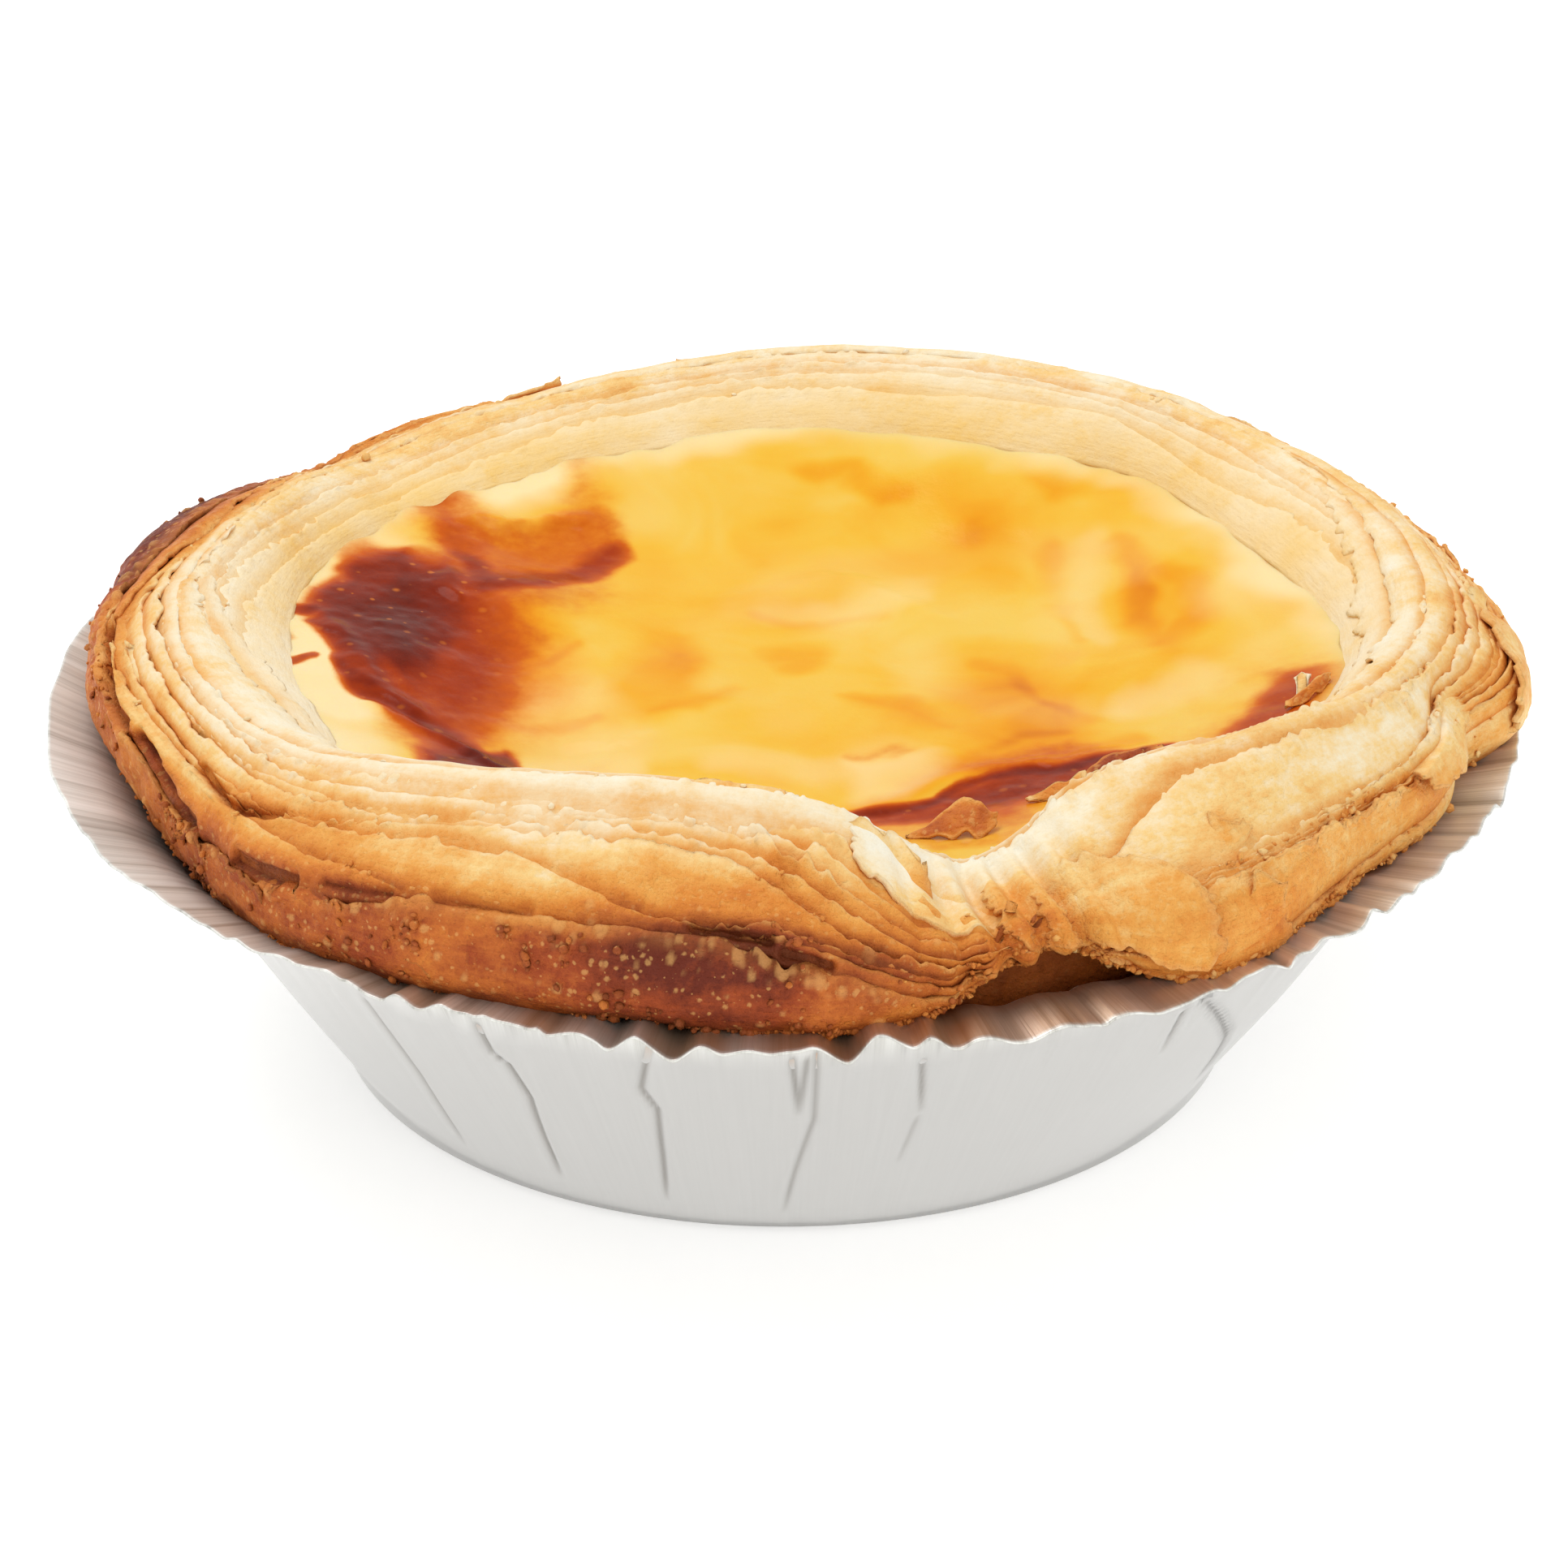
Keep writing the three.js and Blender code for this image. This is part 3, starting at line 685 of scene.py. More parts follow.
# Pastry: relief shared by every sheet
rimFeel = {
    # folds that run up the rim where it is pinched: azimuth, half width in degrees, depth in mm
    "pinchFolds": [(-79.0, .8, .25), (-75.6, 1.0, .5), (-72.2, 1.0, .8), (-69.0, .9, .6), (-66.0, .9, .7),
                   (-63.2, .8, .4)],
    # cracks that opened in the oven: (azimuth, share) points, half width and depth in mm
    "cracks": [([(-179, .45), (-175.5, .435), (-171, .415), (-167, .375), (-163, .36)], .32, 1.0),
               ([(-160.5, .37), (-157, .36), (-153, .31), (-149, .285), (-146, .28)], .32, 1.0),
               ([(-138.5, .295), (-134.5, .30), (-131, .315)], .26, .8),
               ([(-149.5, .475), (-147, .46), (-144, .44), (-140.5, .455), (-136.5, .49)], .26, .7),
               ([(-128, .335), (-122, .352)], .2, .4), ([(-118, .36), (-110, .37)], .2, .35),
               ([(-97, .372), (-94.5, .365), (-91, .35)], .2, .6), ([(-90, .325), (-86.5, .302)], .2, .6),
               ([(20, .33), (27, .34), (33, .33)], .26, .7), ([(52, .36), (60, .35), (66, .37)], .26, .7),
               ([(88, .34), (96, .36)], .26, .7), ([(118, .38), (127, .4), (133, .39)], .28, .8)],
    # how crumbly the torn edges are round the rim
    "frill": [(-180, 1.0), (-160, 1.1), (-148, 1.0), (-125, .8), (-105, .8), (-94, 1.1), (-86, 1.8),
              (-66, 1.8), (-56, 1.2), (-30, 1.1), (-12, 1.1), (10, .8), (40, .6), (130, .7), (150, .8)],
    # how far the outer sheets have sprung apart
    "open": [(-180, .45), (-165, .7), (-147, .8), (-138, .4), (-120, .2), (-100, .35), (-86, .8), (-72, .8),
             (-56, .15), (-30, .0), (-18, .3), (-12, .6), (5, .45), (40, .15), (90, .15), (140, .2),
             (160, .3)],
}


# how deep each place lies in a crack, in mm, and how far it stands up beside one
def cracked(deg, share):
    deep = 0 * deg
    raised = 0 * deg
    for line, half, depth in rimFeel["cracks"]:
        middle = (line[0][0] + line[-1][0]) / 2
        near = np.abs(turnFrom(deg, middle)) < 14
        if not near.any():
            continue
        mark = [((at - middle) * perDegree, s * outlineLength) for at, s in line]
        away = strokeDistance(turnFrom(deg[near], middle) * perDegree, share[near] * outlineLength, mark)
        away = np.abs(away + 0.3 * half * rimNoise(deg[near], share[near], 0.8, 45))
        deep[near] = np.maximum(deep[near], depth * np.exp(-(away / half) ** 2))
        raised[near] = np.maximum(raised[near],
                                  0.3 * depth * np.exp(-((away - 2.2 * half) / (1.2 * half)) ** 2))
    return deep, raised


def relief(deg, share):
    deep, raised = cracked(deg, share)
    lumps = 0.22 * rimNoise(deg, share, 7.5, 41) + 0.10 * rimNoise(deg, share, 2.8, 42) - deep + raised
    reach = ramp(share, 0.02, 0.15) * (1 - ramp(share, 0.56, 0.7))
    wander = 0.7 * rimNoise(deg, share * 0 + 0.3, 9.0, 43) + 2.2 * (share - 0.4)
    for at, half, depth in rimFeel["pinchFolds"]:
        lumps = lumps - reach * depth * hump(deg + wander, at, half)
        lumps = lumps + reach * 0.35 * depth * hump(deg + wander, at + 1.7, half)
    lip = 0.8 * hump(deg, 163, 13) * ramp(share, 0.25, 0.5) * (1 - ramp(share, 0.62, 0.68))
    return lumps, lip


# Pastry: the core under the sheets
pastryCore = {"around": 720, "inset": 0.95, "gap": 0.3}


def caseInside(z):
    outside = np.array(foilCase["outside"])
    return np.interp(z, outside[2:, 1], outside[2:, 0]) - 0.25


def buildCore():
    inset = pastryCore["inset"]
    gap = pastryCore["gap"]
    under = [(0.0, 0.57), (12.0, 0.57), (23.7, 0.57)]
    under += [(float(caseInside(z)) - gap - 0.12, z) for z in (2.16, 5.0, 7.6, 11.5, 15.6)]
    shares = np.linspace(-0.06, 1.04, 40)
    inner = [17.0, 10.0, 5.0, 3.57]
    count = len(under) + 1 + len(shares) + len(inner) + 1
    piece, column, row = newGrid("pastryCore", pastryCore["around"], count - 1)
    deg = (column % pastryCore["around"]) * 360.0 / pastryCore["around"]
    q = rimSizes(deg)
    r = np.zeros(len(deg))
    z = np.zeros(len(deg))
    share = np.full(len(deg), -0.1)
    for k, spot in enumerate(under):
        r[row == k] = spot[0]
        z[row == k] = spot[1]
    k = len(under)
    here = row == k
    r[here] = mix(34.5, q["outR"][here], 0.25) - 0.5 * hump(deg[here], pinchAt, 9)
    z[here] = np.maximum(19.0, q["hemZ"][here] - 1.2)
    for step, s in enumerate(shares):
        here = row == k + 1 + step
        lumps = relief(deg[here], np.full(here.sum(), s))[0]
        pinch = hump(deg[here], pinchAt, 9)
        crest = math.exp(-((s - 0.7) / 0.07) ** 2)  # close under the crest, where the last sheets meet
        r[here], z[here] = rimSpot(deg[here], np.full(here.sum(), s),
                                   lumps - inset * (1 - 0.35 * pinch - 0.45 * crest))
        # at the pinch the rim is thin, so the core stays back under it
        r[here] = r[here] - 1.6 * pinch * (1 - ramp(s, 0.0, 0.3))
        z[here] = z[here] - 0.6 * pinch * (1 - ramp(s, 0.3, 0.7))
        share[here] = s
        if s < 0.12:  # it lies on the case's lip
            z[here] = np.maximum(z[here], lipHeight(deg[here], r[here]) + 0.3)
    k += 1 + len(shares)
    for step, level in enumerate(inner):
        here = row == k + step
        wall = float(caseInside(level)) - 0.32 - 4.0
        reached = mix(q["lineR"][here], wall, smooth((q["lineZ"][here] - level) / 9))
        r[here] = np.minimum(wall, reached)
        z[here] = level
        share[here] = 1.1
    z[row == count - 1] = 3.17
    hemBrown = 0.12 * (share < 0.05)
    # painted shade: the core is seen only down in the gaps between the sheets, so it has the golden trough
    # tone all over
    paint(piece, bake=np.clip(browned(deg, share) + 0.06 + hemBrown, 0.2, 1.0), torn=0 * deg, soaked=0 * deg,
          trough=0 * deg + 1.0, grain=0 * deg,
          rolled=toPoints(deg, rimRadius, share * 64))
    rollUp(piece, toPoints(deg, r, z))
    dress(piece, pastryMaterial)
    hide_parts("pastry_shell")
    return piece


buildCore()
print("pastry core made")

# Pastry: torn sheets round the rim
# Each row is one sheet's torn upper edge round the tart, as (azimuth, share of the outline).
outerEdges = [
    [(-180, .42), (-170, .40), (-160, .33), (-152, .245), (-144, .26), (-130, .305), (-120, .355),
     (-110, .365), (-98, .36), (-91, .33), (-84, .27), (-79, .19), (-74, .10), (-68, .06), (-60, .07),
     (-50, .12), (-38, .15), (-28, .19), (-18, .24), (-8, .30), (10, .32), (60, .33), (110, .36), (135, .42),
     (148, .56), (163, .60), (174, .50)],
    [(-180, .475), (-168, .48), (-160, .47), (-150, .455), (-142, .44), (-130, .42), (-120, .385),
     (-110, .38), (-98, .375), (-91, .36), (-84, .31), (-79, .24), (-74, .15), (-68, .10), (-63, .11),
     (-57, .40), (-50, .375), (-42, .345), (-34, .315), (-26, .31), (-18, .33), (-8, .37), (10, .38),
     (60, .38), (110, .41), (135, .47), (150, .62), (165, .66), (175, .58)],
    [(-180, .53), (-168, .535), (-160, .515), (-150, .485), (-142, .465), (-137, .475), (-130, .515),
     (-122, .535), (-114, .53), (-108, .49), (-103, .43), (-100, .395), (-95, .39), (-90, .385), (-84, .34),
     (-79, .28), (-74, .20), (-68, .145), (-63, .15), (-57, .41), (-50, .385), (-42, .355), (-34, .33),
     (-26, .335), (-20, .36), (-8, .42), (10, .43), (60, .43), (110, .45), (135, .50), (150, .66), (165, .70),
     (175, .63)],
    [(-180, .54), (-168, .54), (-160, .525), (-150, .50), (-140, .50), (-134, .515), (-128, .54),
     (-120, .555), (-112, .56), (-104, .555), (-98, .55), (-93, .545), (-90, .50), (-88, .43), (-84, .375),
     (-79, .315), (-74, .24), (-68, .19), (-63, .20), (-57, .425), (-50, .395), (-42, .365), (-34, .34),
     (-26, .35), (-20, .39), (-8, .45), (10, .47), (60, .47), (110, .48), (135, .53), (160, .56)],
    [(-180, .59), (-165, .60), (-152, .575), (-145, .555), (-135, .545), (-120, .57), (-105, .575),
     (-95, .565), (-90, .545), (-86, .48), (-82, .40), (-78, .34), (-74, .285), (-68, .235), (-63, .25),
     (-57, .435), (-50, .405), (-42, .375), (-34, .35), (-26, .37), (-20, .42), (-8, .48), (10, .50),
     (60, .51), (110, .52), (160, .60)],
    [(-180, .60), (-165, .605), (-152, .585), (-145, .575), (-130, .57), (-105, .59), (-95, .585), (-89, .56),
     (-85, .52), (-81, .44), (-77, .38), (-72, .31), (-68, .28), (-63, .31), (-58, .445), (-50, .415),
     (-42, .39), (-34, .365), (-26, .43), (-20, .50), (-8, .53), (10, .54), (60, .55), (110, .56),
     (160, .62)],
    [(-180, .65), (-165, .655), (-152, .64), (-145, .615), (-130, .60), (-105, .605), (-92, .59), (-86, .57),
     (-82, .52), (-79, .46), (-75, .40), (-70, .34), (-66, .33), (-62, .37), (-57, .45), (-53, .445),
     (-48, .435), (-40, .415), (-30, .40), (-24, .45), (-18, .54), (-8, .57), (10, .58), (60, .58),
     (110, .59), (160, .64)],
    [(-180, .66), (-165, .662), (-150, .66), (-130, .635), (-105, .625), (-90, .61), (-84, .60), (-80, .57),
     (-77, .52), (-74, .46), (-70, .42), (-66, .43), (-62, .50), (-58, .55), (-54, .60), (-48, .63),
     (-40, .635), (-30, .625), (-20, .61), (10, .615), (60, .62), (110, .63), (160, .66)],
    [(-180, .71), (-120, .705), (-85, .70), (-70, .68), (-50, .70), (0, .70), (90, .705), (150, .71)],
]
# Sheets that fold over the crest and end in a white fluffy edge above the custard.
foldedEdges = [
    [(-180, .78), (-174, .83), (-166, .87), (-156, .885), (-146, .88), (-136, .86), (-128, .82), (-118, .80),
     (-108, .79), (-100, .76), (-92, .725), (-85, .715), (-50, .715), (-34, .73), (-26, .78), (-18, .83),
     (-8, .86), (4, .85), (14, .80), (24, .74), (34, .72), (90, .72), (150, .72), (168, .74)],
    [(-180, .84), (-174, .88), (-166, .915), (-158, .94), (-150, .95), (-142, .94), (-134, .92), (-126, .89),
     (-116, .87), (-106, .85), (-98, .80), (-90, .735), (-82, .72), (-50, .72), (-34, .735), (-28, .82),
     (-20, .89), (-12, .92), (-2, .925), (8, .91), (18, .86), (26, .77), (36, .73), (90, .725), (150, .725),
     (170, .75)],
]
# The sheets of the inner slope, whose torn edges face up to the crest.
innerEdges = [
    [(-180, .88), (-150, .86), (-120, .84), (-90, .84), (-70, .82), (-50, .86), (-20, .84), (0, .89),
     (20, .88), (40, .93), (55, .85), (75, .88), (100, .85), (125, .90), (150, .93), (165, .92)],
    [(-180, .82), (-120, .80), (-60, .79), (-20, .80), (0, .84), (20, .83), (40, .86), (60, .80), (90, .80),
     (120, .84), (150, .88), (170, .84)],
    [(-180, .77), (-120, .76), (-60, .75), (-10, .77), (10, .79), (30, .81), (60, .76), (90, .76), (120, .79),
     (150, .82)],
    [(-180, .69), (-90, .685), (0, .69), (60, .685), (150, .695)],
]
sheetStyle = {
    "around": 1800,
    "hidden": .055,  # share of the outline that a sheet reaches down behind the one in front
    # how far the hem sags below the rim's outline, in mm
    "sag": [(-180, 1.6), (-160, 1.8), (-140, 1.3), (-120, .6), (-100, .35), (-80, .3), (-60, .0), (-40, .0),
            (-25, .3), (0, .9), (40, .6), (120, .8), (150, 1.3)],
    "band": {"thick": .6, "lift": .14, "root": .2, "ragged": 1.3, "open": .2},
    "outer": {"thick": .28, "lift": .17, "root": .4, "ragged": 1.0, "open": .0},
    "inner": {"thick": .22, "lift": .0, "root": .12, "ragged": 1.1, "open": -.4},
    "folded": {"thick": .28, "lift": .2, "root": .25, "ragged": 2.0, "open": .1},
}
bandShares = list(np.linspace(0, 1, 44))
faceShares = [0.0, 0.1, 0.2, 0.3, 0.4, 0.5, 0.6, 0.7, 0.78, 0.85, 0.91, 0.96, 1.0]
backShares = [0.985, 0.85, 0.5, 0.0]


# how a torn edge wanders, as a share of the outline: long waves, crumbs, and a few missing pieces
def tornLine(deg, seed):
    flat = 0 * deg
    busy = 0.3 + 1.0 * ramp(rimNoise(deg, flat, 5.0, seed + 5), -0.3, 0.6)
    frill = aroundTart(deg, rimFeel["frill"], 4) * busy
    line = 0.007 * rimNoise(deg, flat, 9.0, seed) + 0.004 * rimNoise(deg, flat, 2.6, seed + 1)
    teeth = 0.009 * rimNoise(deg, flat, 1.3, seed + 2) + 0.009 * rimNoise(deg, flat, 0.62, seed + 3)
    teeth = teeth + 0.006 * rimNoise(deg, flat, 0.36, seed + 6)
    missing = 0.6 * ramp(rimNoise(deg, flat, 4.2, seed + 4), 0.42, 0.6)
    return line + frill * teeth - 0.022 * missing, frill


def makeSheet(name, table, front, style, seed):
    look = sheetStyle[style]
    around = sheetStyle["around"]
    face = bandShares if style == "band" else faceShares
    sections = face + backShares + [0.0]
    piece, column, row = newGrid(name, around, len(sections) - 1)
    deg = (column % around) * 360.0 / around
    flat = 0 * deg
    turned = -1 if style == "inner" else 1
    edge = aroundTart(deg, table)
    behind = aroundTart(deg, front) if front else np.full(len(deg), -0.02 if style == "band" else 1.0)
    if style == "inner":
        strip = np.maximum(behind - edge, 0.004)
        start = behind + (sheetStyle["hidden"] if front else 0.03)
    else:
        strip = np.maximum(edge - behind, 0.004)
        start = behind - (sheetStyle["hidden"] if front else 0.06)
    if style == "band":
        strip = strip * 0 + 0.3
    share = np.array(sections)[row]
    onBack = (row >= len(face)) & (row < len(sections) - 1)
    ragged, frill = tornLine(deg, seed)
    ragged = ragged * look["ragged"] * np.clip(strip / 0.025, 0.45, 1.0)
    # the crest is whole
    ragged = ragged * (1 - 0.75 * ramp(edge, 0.64, 0.68) * (1 - ramp(edge, 0.72, 0.75)))
    s = mix(start, edge, share) + turned * ragged * share ** 5

    # where the sheets sprang apart the edge lifts and a gap opens behind it, elsewhere they lie shut
    sprung = aroundTart(deg, rimFeel["open"], 4) + look["open"] + 0.75 * rimNoise(deg, flat, 10.0, seed + 7)
    sprung = np.clip(sprung, 0, 1) * (1 - 0.85 * hump(deg, -40, 14) * (edge > 0.44) * (edge < 0.68))
    free = ramp(strip, 0.006, 0.035)
    lift = mix(-0.1, mix(0.02, look["lift"] * 1.5, sprung), free)
    curl = 0.3 * ramp(rimNoise(deg, flat, 2.6, seed + 8), 0.3, 0.8) * free * sprung * share ** 6
    root = -mix(0.16, look["root"] * 1.25, sprung)
    out = mix(root, lift, smooth(share ** 0.7)) + curl
    wide = ramp(strip, 0.02, 0.11)
    out = out + 0.28 * wide * np.sin(np.pi * share) * (0.4 if style == "inner" else 1.0)
    fan = ramp(frill, 1.0, 1.5) if style != "inner" else flat
    out = out + 0.14 * fan * share ** 2
    out = out - 0.1 * ramp(share, 0.88, 1.0) ** 2 * free  # the lips are rounded over
    lumps, lip = relief(deg, s)
    # crumbs thicken the torn edges, and small blisters dot the faces
    edging = ramp(share, 0.72, 0.97) * (1 - ramp(s, 0.7, 0.85) * 0.5) * (free if style == "folded" else 1)
    crumbs = rimGrains(deg, s, 0.75, seed + 10, 0.75, 0.62) * edging * np.clip(0.25 + frill, 0, 1)
    blisters = rimGrains(deg, s, 1.15, seed + 20, 0.3, 0.36)
    dry = ramp(browned(deg, s), 0.2, 0.5)
    out = out + lumps + (0.26 + 0.16 * fan) * crumbs + 0.08 * dry * blisters
    out = out + (0.02 + 0.04 * dry) * frill * rimNoise(deg, s, 0.6, seed + 15)
    # the faces ripple like pulled dough
    ripple = (0.05 + 0.06 * frill) * rimNoise(deg, s, 1.9, seed + 16, 0.35)
    out = out + ripple * (1 - ramp(s, 0.7, 0.95) * 0.6)
    if style == "band":
        big = rimGrains(deg, s, 1.7, seed + 11, 0.3, 0.32)
        small = rimGrains(deg, s, 0.9, seed + 12, 0.5, 0.38)
        blisters = np.maximum(big, small)
        out = out + 0.2 * big + 0.12 * small + 0.10 * rimNoise(deg, s, 2.4, seed + 13)
        rough = 0.2 * rimNoise(deg, s, 1.5, seed + 17) + 0.08 * rimNoise(deg, s, 0.7, seed + 18)
        out = out + hump(deg, -155, 38) * rough
    grain = np.clip(np.maximum(ramp(crumbs, 0.15, 0.6), ramp(blisters, 0.2, 0.6) * dry), 0, 1)
    brownLip = flat
    if style != "inner":  # the outermost sheets stand out in a lip, each less than the one before
        follow = max(0.0, 1 - 0.24 * (seed - 101) / 17) if style != "folded" else 0.0
        out = out + lip * follow
        brownLip = 0.45 * follow * hump(deg, 161, 22) * ramp(s, 0.25, 0.4) * (1 - ramp(s, 0.62, 0.71))
    thin = look["thick"] * (1 - 0.35 * share ** 3) * (1 + 0.5 * fan)
    out = out - thin * onBack
    r, z = rimSpot(deg, s, out)
    if style == "band":  # the hem sags on to the case's lip, except where it is pinched up
        sag = (1 - ramp(s, -0.06, 0.16)) * (1 - hump(deg, pinchAt, 9))
        deep = aroundTart(deg, sheetStyle["sag"], 6)
        z = z - deep * sag + 0.14 * sag * rimNoise(deg, flat, 1.6, 181)
        rest = 0.02 + 0.16 * ramp(np.abs(turnFrom(deg, -90)), 60, 100)
        z = np.maximum(z, lipHeight(deg, r) + rest + 0.1 * rimNoise(deg, flat, 0.9, 182))

    # colour: painted shade, golden and browner, where a sheet comes out from behind the next and on its
    # underside; paler on its face, dry at its torn edge
    emerged = np.maximum((s - behind) * turned, 0)
    trough = np.exp(-emerged / 0.02) * (0.6 + 0.4 * sprung) if front else flat
    trough = np.maximum(trough, onBack * 1.0)
    bake = browned(deg, s) + 0.10 * trough * (1 - ramp(s, 0.6, 0.8)) + brownLip
    # painted shade: browner and golden down in the cracks
    deep = cracked(deg, s)[0]
    bake = bake + 0.3 * np.minimum(deep, 1)
    trough = np.maximum(trough, 0.8 * np.minimum(deep * 1.6, 1))
    bake = bake + 0.06 * rimNoise(deg, flat, 12.0, seed + 13)
    torn = ramp(share, 0.86, 1.0) * (0.6 + 0.4 * rimNoise(deg, flat, 1.5, seed + 14))
    soaked = ramp(s, 0.74, 0.97) * (0.8 + 0.2 * rimNoise(deg, s, 3.0, 61)) * (1 - 0.8 * hump(deg, -158, 32))
    soaked = soaked * (1 - 0.6 * hump(deg, -8, 16))
    paint(piece, bake=np.clip(bake, 0.02, 1.0), torn=np.clip(torn, 0, 1), soaked=np.clip(soaked, 0, 1),
          trough=np.clip(trough, 0, 1), grain=grain, rolled=toPoints(deg, rimRadius, s * 64 + seed))
    points = toPoints(deg, r, z)
    tips = (share > 0.9) & ~onBack & (row < len(face))
    chance = np.clip(0.15 + frill, 0, 1.5) * (1.05 - ramp(s, 0.4, 0.56))
    if style == "band":  # crumbs lie all over it, and most of them near the hem
        tips = (share > 0.03) & (row < len(face))
        chance = chance * (0.3 + 1.2 * (s < 0.07))
    crumbSites.append(np.column_stack([points, deg, s, chance, bake])[tips])
    rollUp(piece, points)
    return piece


crumbSites = []  # where crumbs may sit: point, azimuth, share, chance and bake
bandPiece = makeSheet("crustBand", outerEdges[0], None, "band", 101)
dress(bandPiece, pastryMaterial)
outerSheets = [makeSheet("sheet%d" % k, outerEdges[k], outerEdges[k - 1], "outer", 101 + 17 * k)
               for k in range(1, 9)]
foldedSheets = [makeSheet("folded%d" % k, foldedEdges[k], foldedEdges[k - 1] if k else outerEdges[8],
                          "folded", 401 + 17 * k)
                for k in range(2)]
innerSheets = [makeSheet("slope%d" % k, innerEdges[k], innerEdges[k - 1] if k else None, "inner",
                         301 + 17 * k)
               for k in range(4)]
for name, group in (("lowerLayers", outerSheets[:3]), ("middleLayers", outerSheets[3:6]),
                    ("crestLayers", outerSheets[6:] + innerSheets[3:]), ("innerLayers", innerSheets[:3]),
                    ("foldedLayers", foldedSheets)):
    dress(joinPieces(name, group), pastryMaterial)
    print(name, "made")

# Pastry: broken leaves that lie on the sheets
# Each is the ground between an upper and a lower line of (azimuth, share). Free sides lift by so many mm and
# tear. Then come its lift and thickness in mm, and how much browner than the rim it is.
brokenLeaves = {
    # the large flake right of the pinch
    "largeFlake": ([(-66.5, .50), (-63.5, .55), (-59.5, .50), (-57.5, .44), (-56.4, .37)],
                   [(-66.5, .18), (-65, .23), (-62.5, .215), (-60.5, .18), (-57.5, .17), (-56.8, .23)],
                   {"right": .6, "bottom": .6, "top": .15}, .46, .32, -.01),
    "underFlake": ([(-65, .24), (-60, .22), (-54, .24), (-48, .3)],
                   [(-65, .08), (-61, .04), (-55, .03), (-48, .08)], {"bottom": .35, "right": .2},
                   .12, .3, .06),
    "pinchFlapLeft": ([(-74.6, .45), (-72.2, .50), (-70, .46), (-69.2, .4)],
                      [(-74.6, .2), (-73.5, .16), (-71.5, .10), (-69.2, .15)], {"bottom": .3, "right": .3},
                      .3, .32, .04),
    "pinchFlapMiddle": ([(-71.5, .62), (-69.5, .70), (-67, .66), (-66.2, .6)],
                        [(-71.5, .3), (-70, .2), (-68.5, .13), (-66.2, .2)],
                        {"bottom": .4, "right": .25, "left": .2}, .3, .3, .0),
    "pinchFlapRight": ([(-68, .56), (-66, .6), (-64, .56)], [(-68, .16), (-66, .08), (-64, .16)],
                       {"left": .4, "bottom": .3}, .25, .28, .04),
    "creamFold": ([(-83.5, .65), (-79, .70), (-73, .72), (-69, .70)],
                  [(-83.5, .58), (-79, .46), (-75, .40), (-72, .38), (-69, .44)], {"left": .35, "bottom": .2},
                  .18, .3, -.16),
    "fanTop": ([(-86, .63), (-83, .655), (-79.5, .66), (-77, .6)],
               [(-86, .60), (-83, .56), (-79.5, .54), (-77, .52)], {"right": .35, "top": .3}, .2, .26, .14),
    "curledUpper": ([(-52.2, .475), (-51, .515), (-49.4, .475)], [(-52.2, .44), (-51, .42), (-49.4, .445)],
                    {"right": .4, "top": .3}, .16, .16, .02),
    "curledLower": ([(-52.6, .31), (-51.5, .335), (-50.2, .3)], [(-52.6, .26), (-51.5, .23), (-50.2, .25)],
                    {"right": .9, "top": .5}, .25, .18, .02),
    "lobeLeaf": ([(-57, .37), (-49, .375), (-37, .33), (-31, .33)],
                 [(-57, .3), (-49, .27), (-37, .24), (-31, .27)], {"top": .25, "right": .2}, .12, .3, .0),
    "hangingFlake": ([(-28, .36), (-22, .44), (-16, .52), (-12, .48)],
                     [(-28, .3), (-22, .29), (-16, .32), (-12, .34)], {"left": .7, "bottom": .5},
                     .3, .26, -.02),
    "rightBrown": ([(-10, .3), (-5.5, .42), (-1, .52), (4, .5)], [(-10, .14), (-5.5, .1), (-1, .12), (4, .2)],
                   {"left": .5, "top": .3}, .25, .34, -.02),
    "crestFilm": ([(-101, .70), (-96, .715), (-90, .70)], [(-101, .66), (-96, .64), (-90, .65)],
                  {"top": .2, "right": .1}, .12, .14, .2),
}
leafGrid = 0.13  # mm between the vertices of a leaf
scatteredLeaves = {"count": 46, "seed": 77, "width": (3.0, 11.0), "height": (0.05, 0.13)}


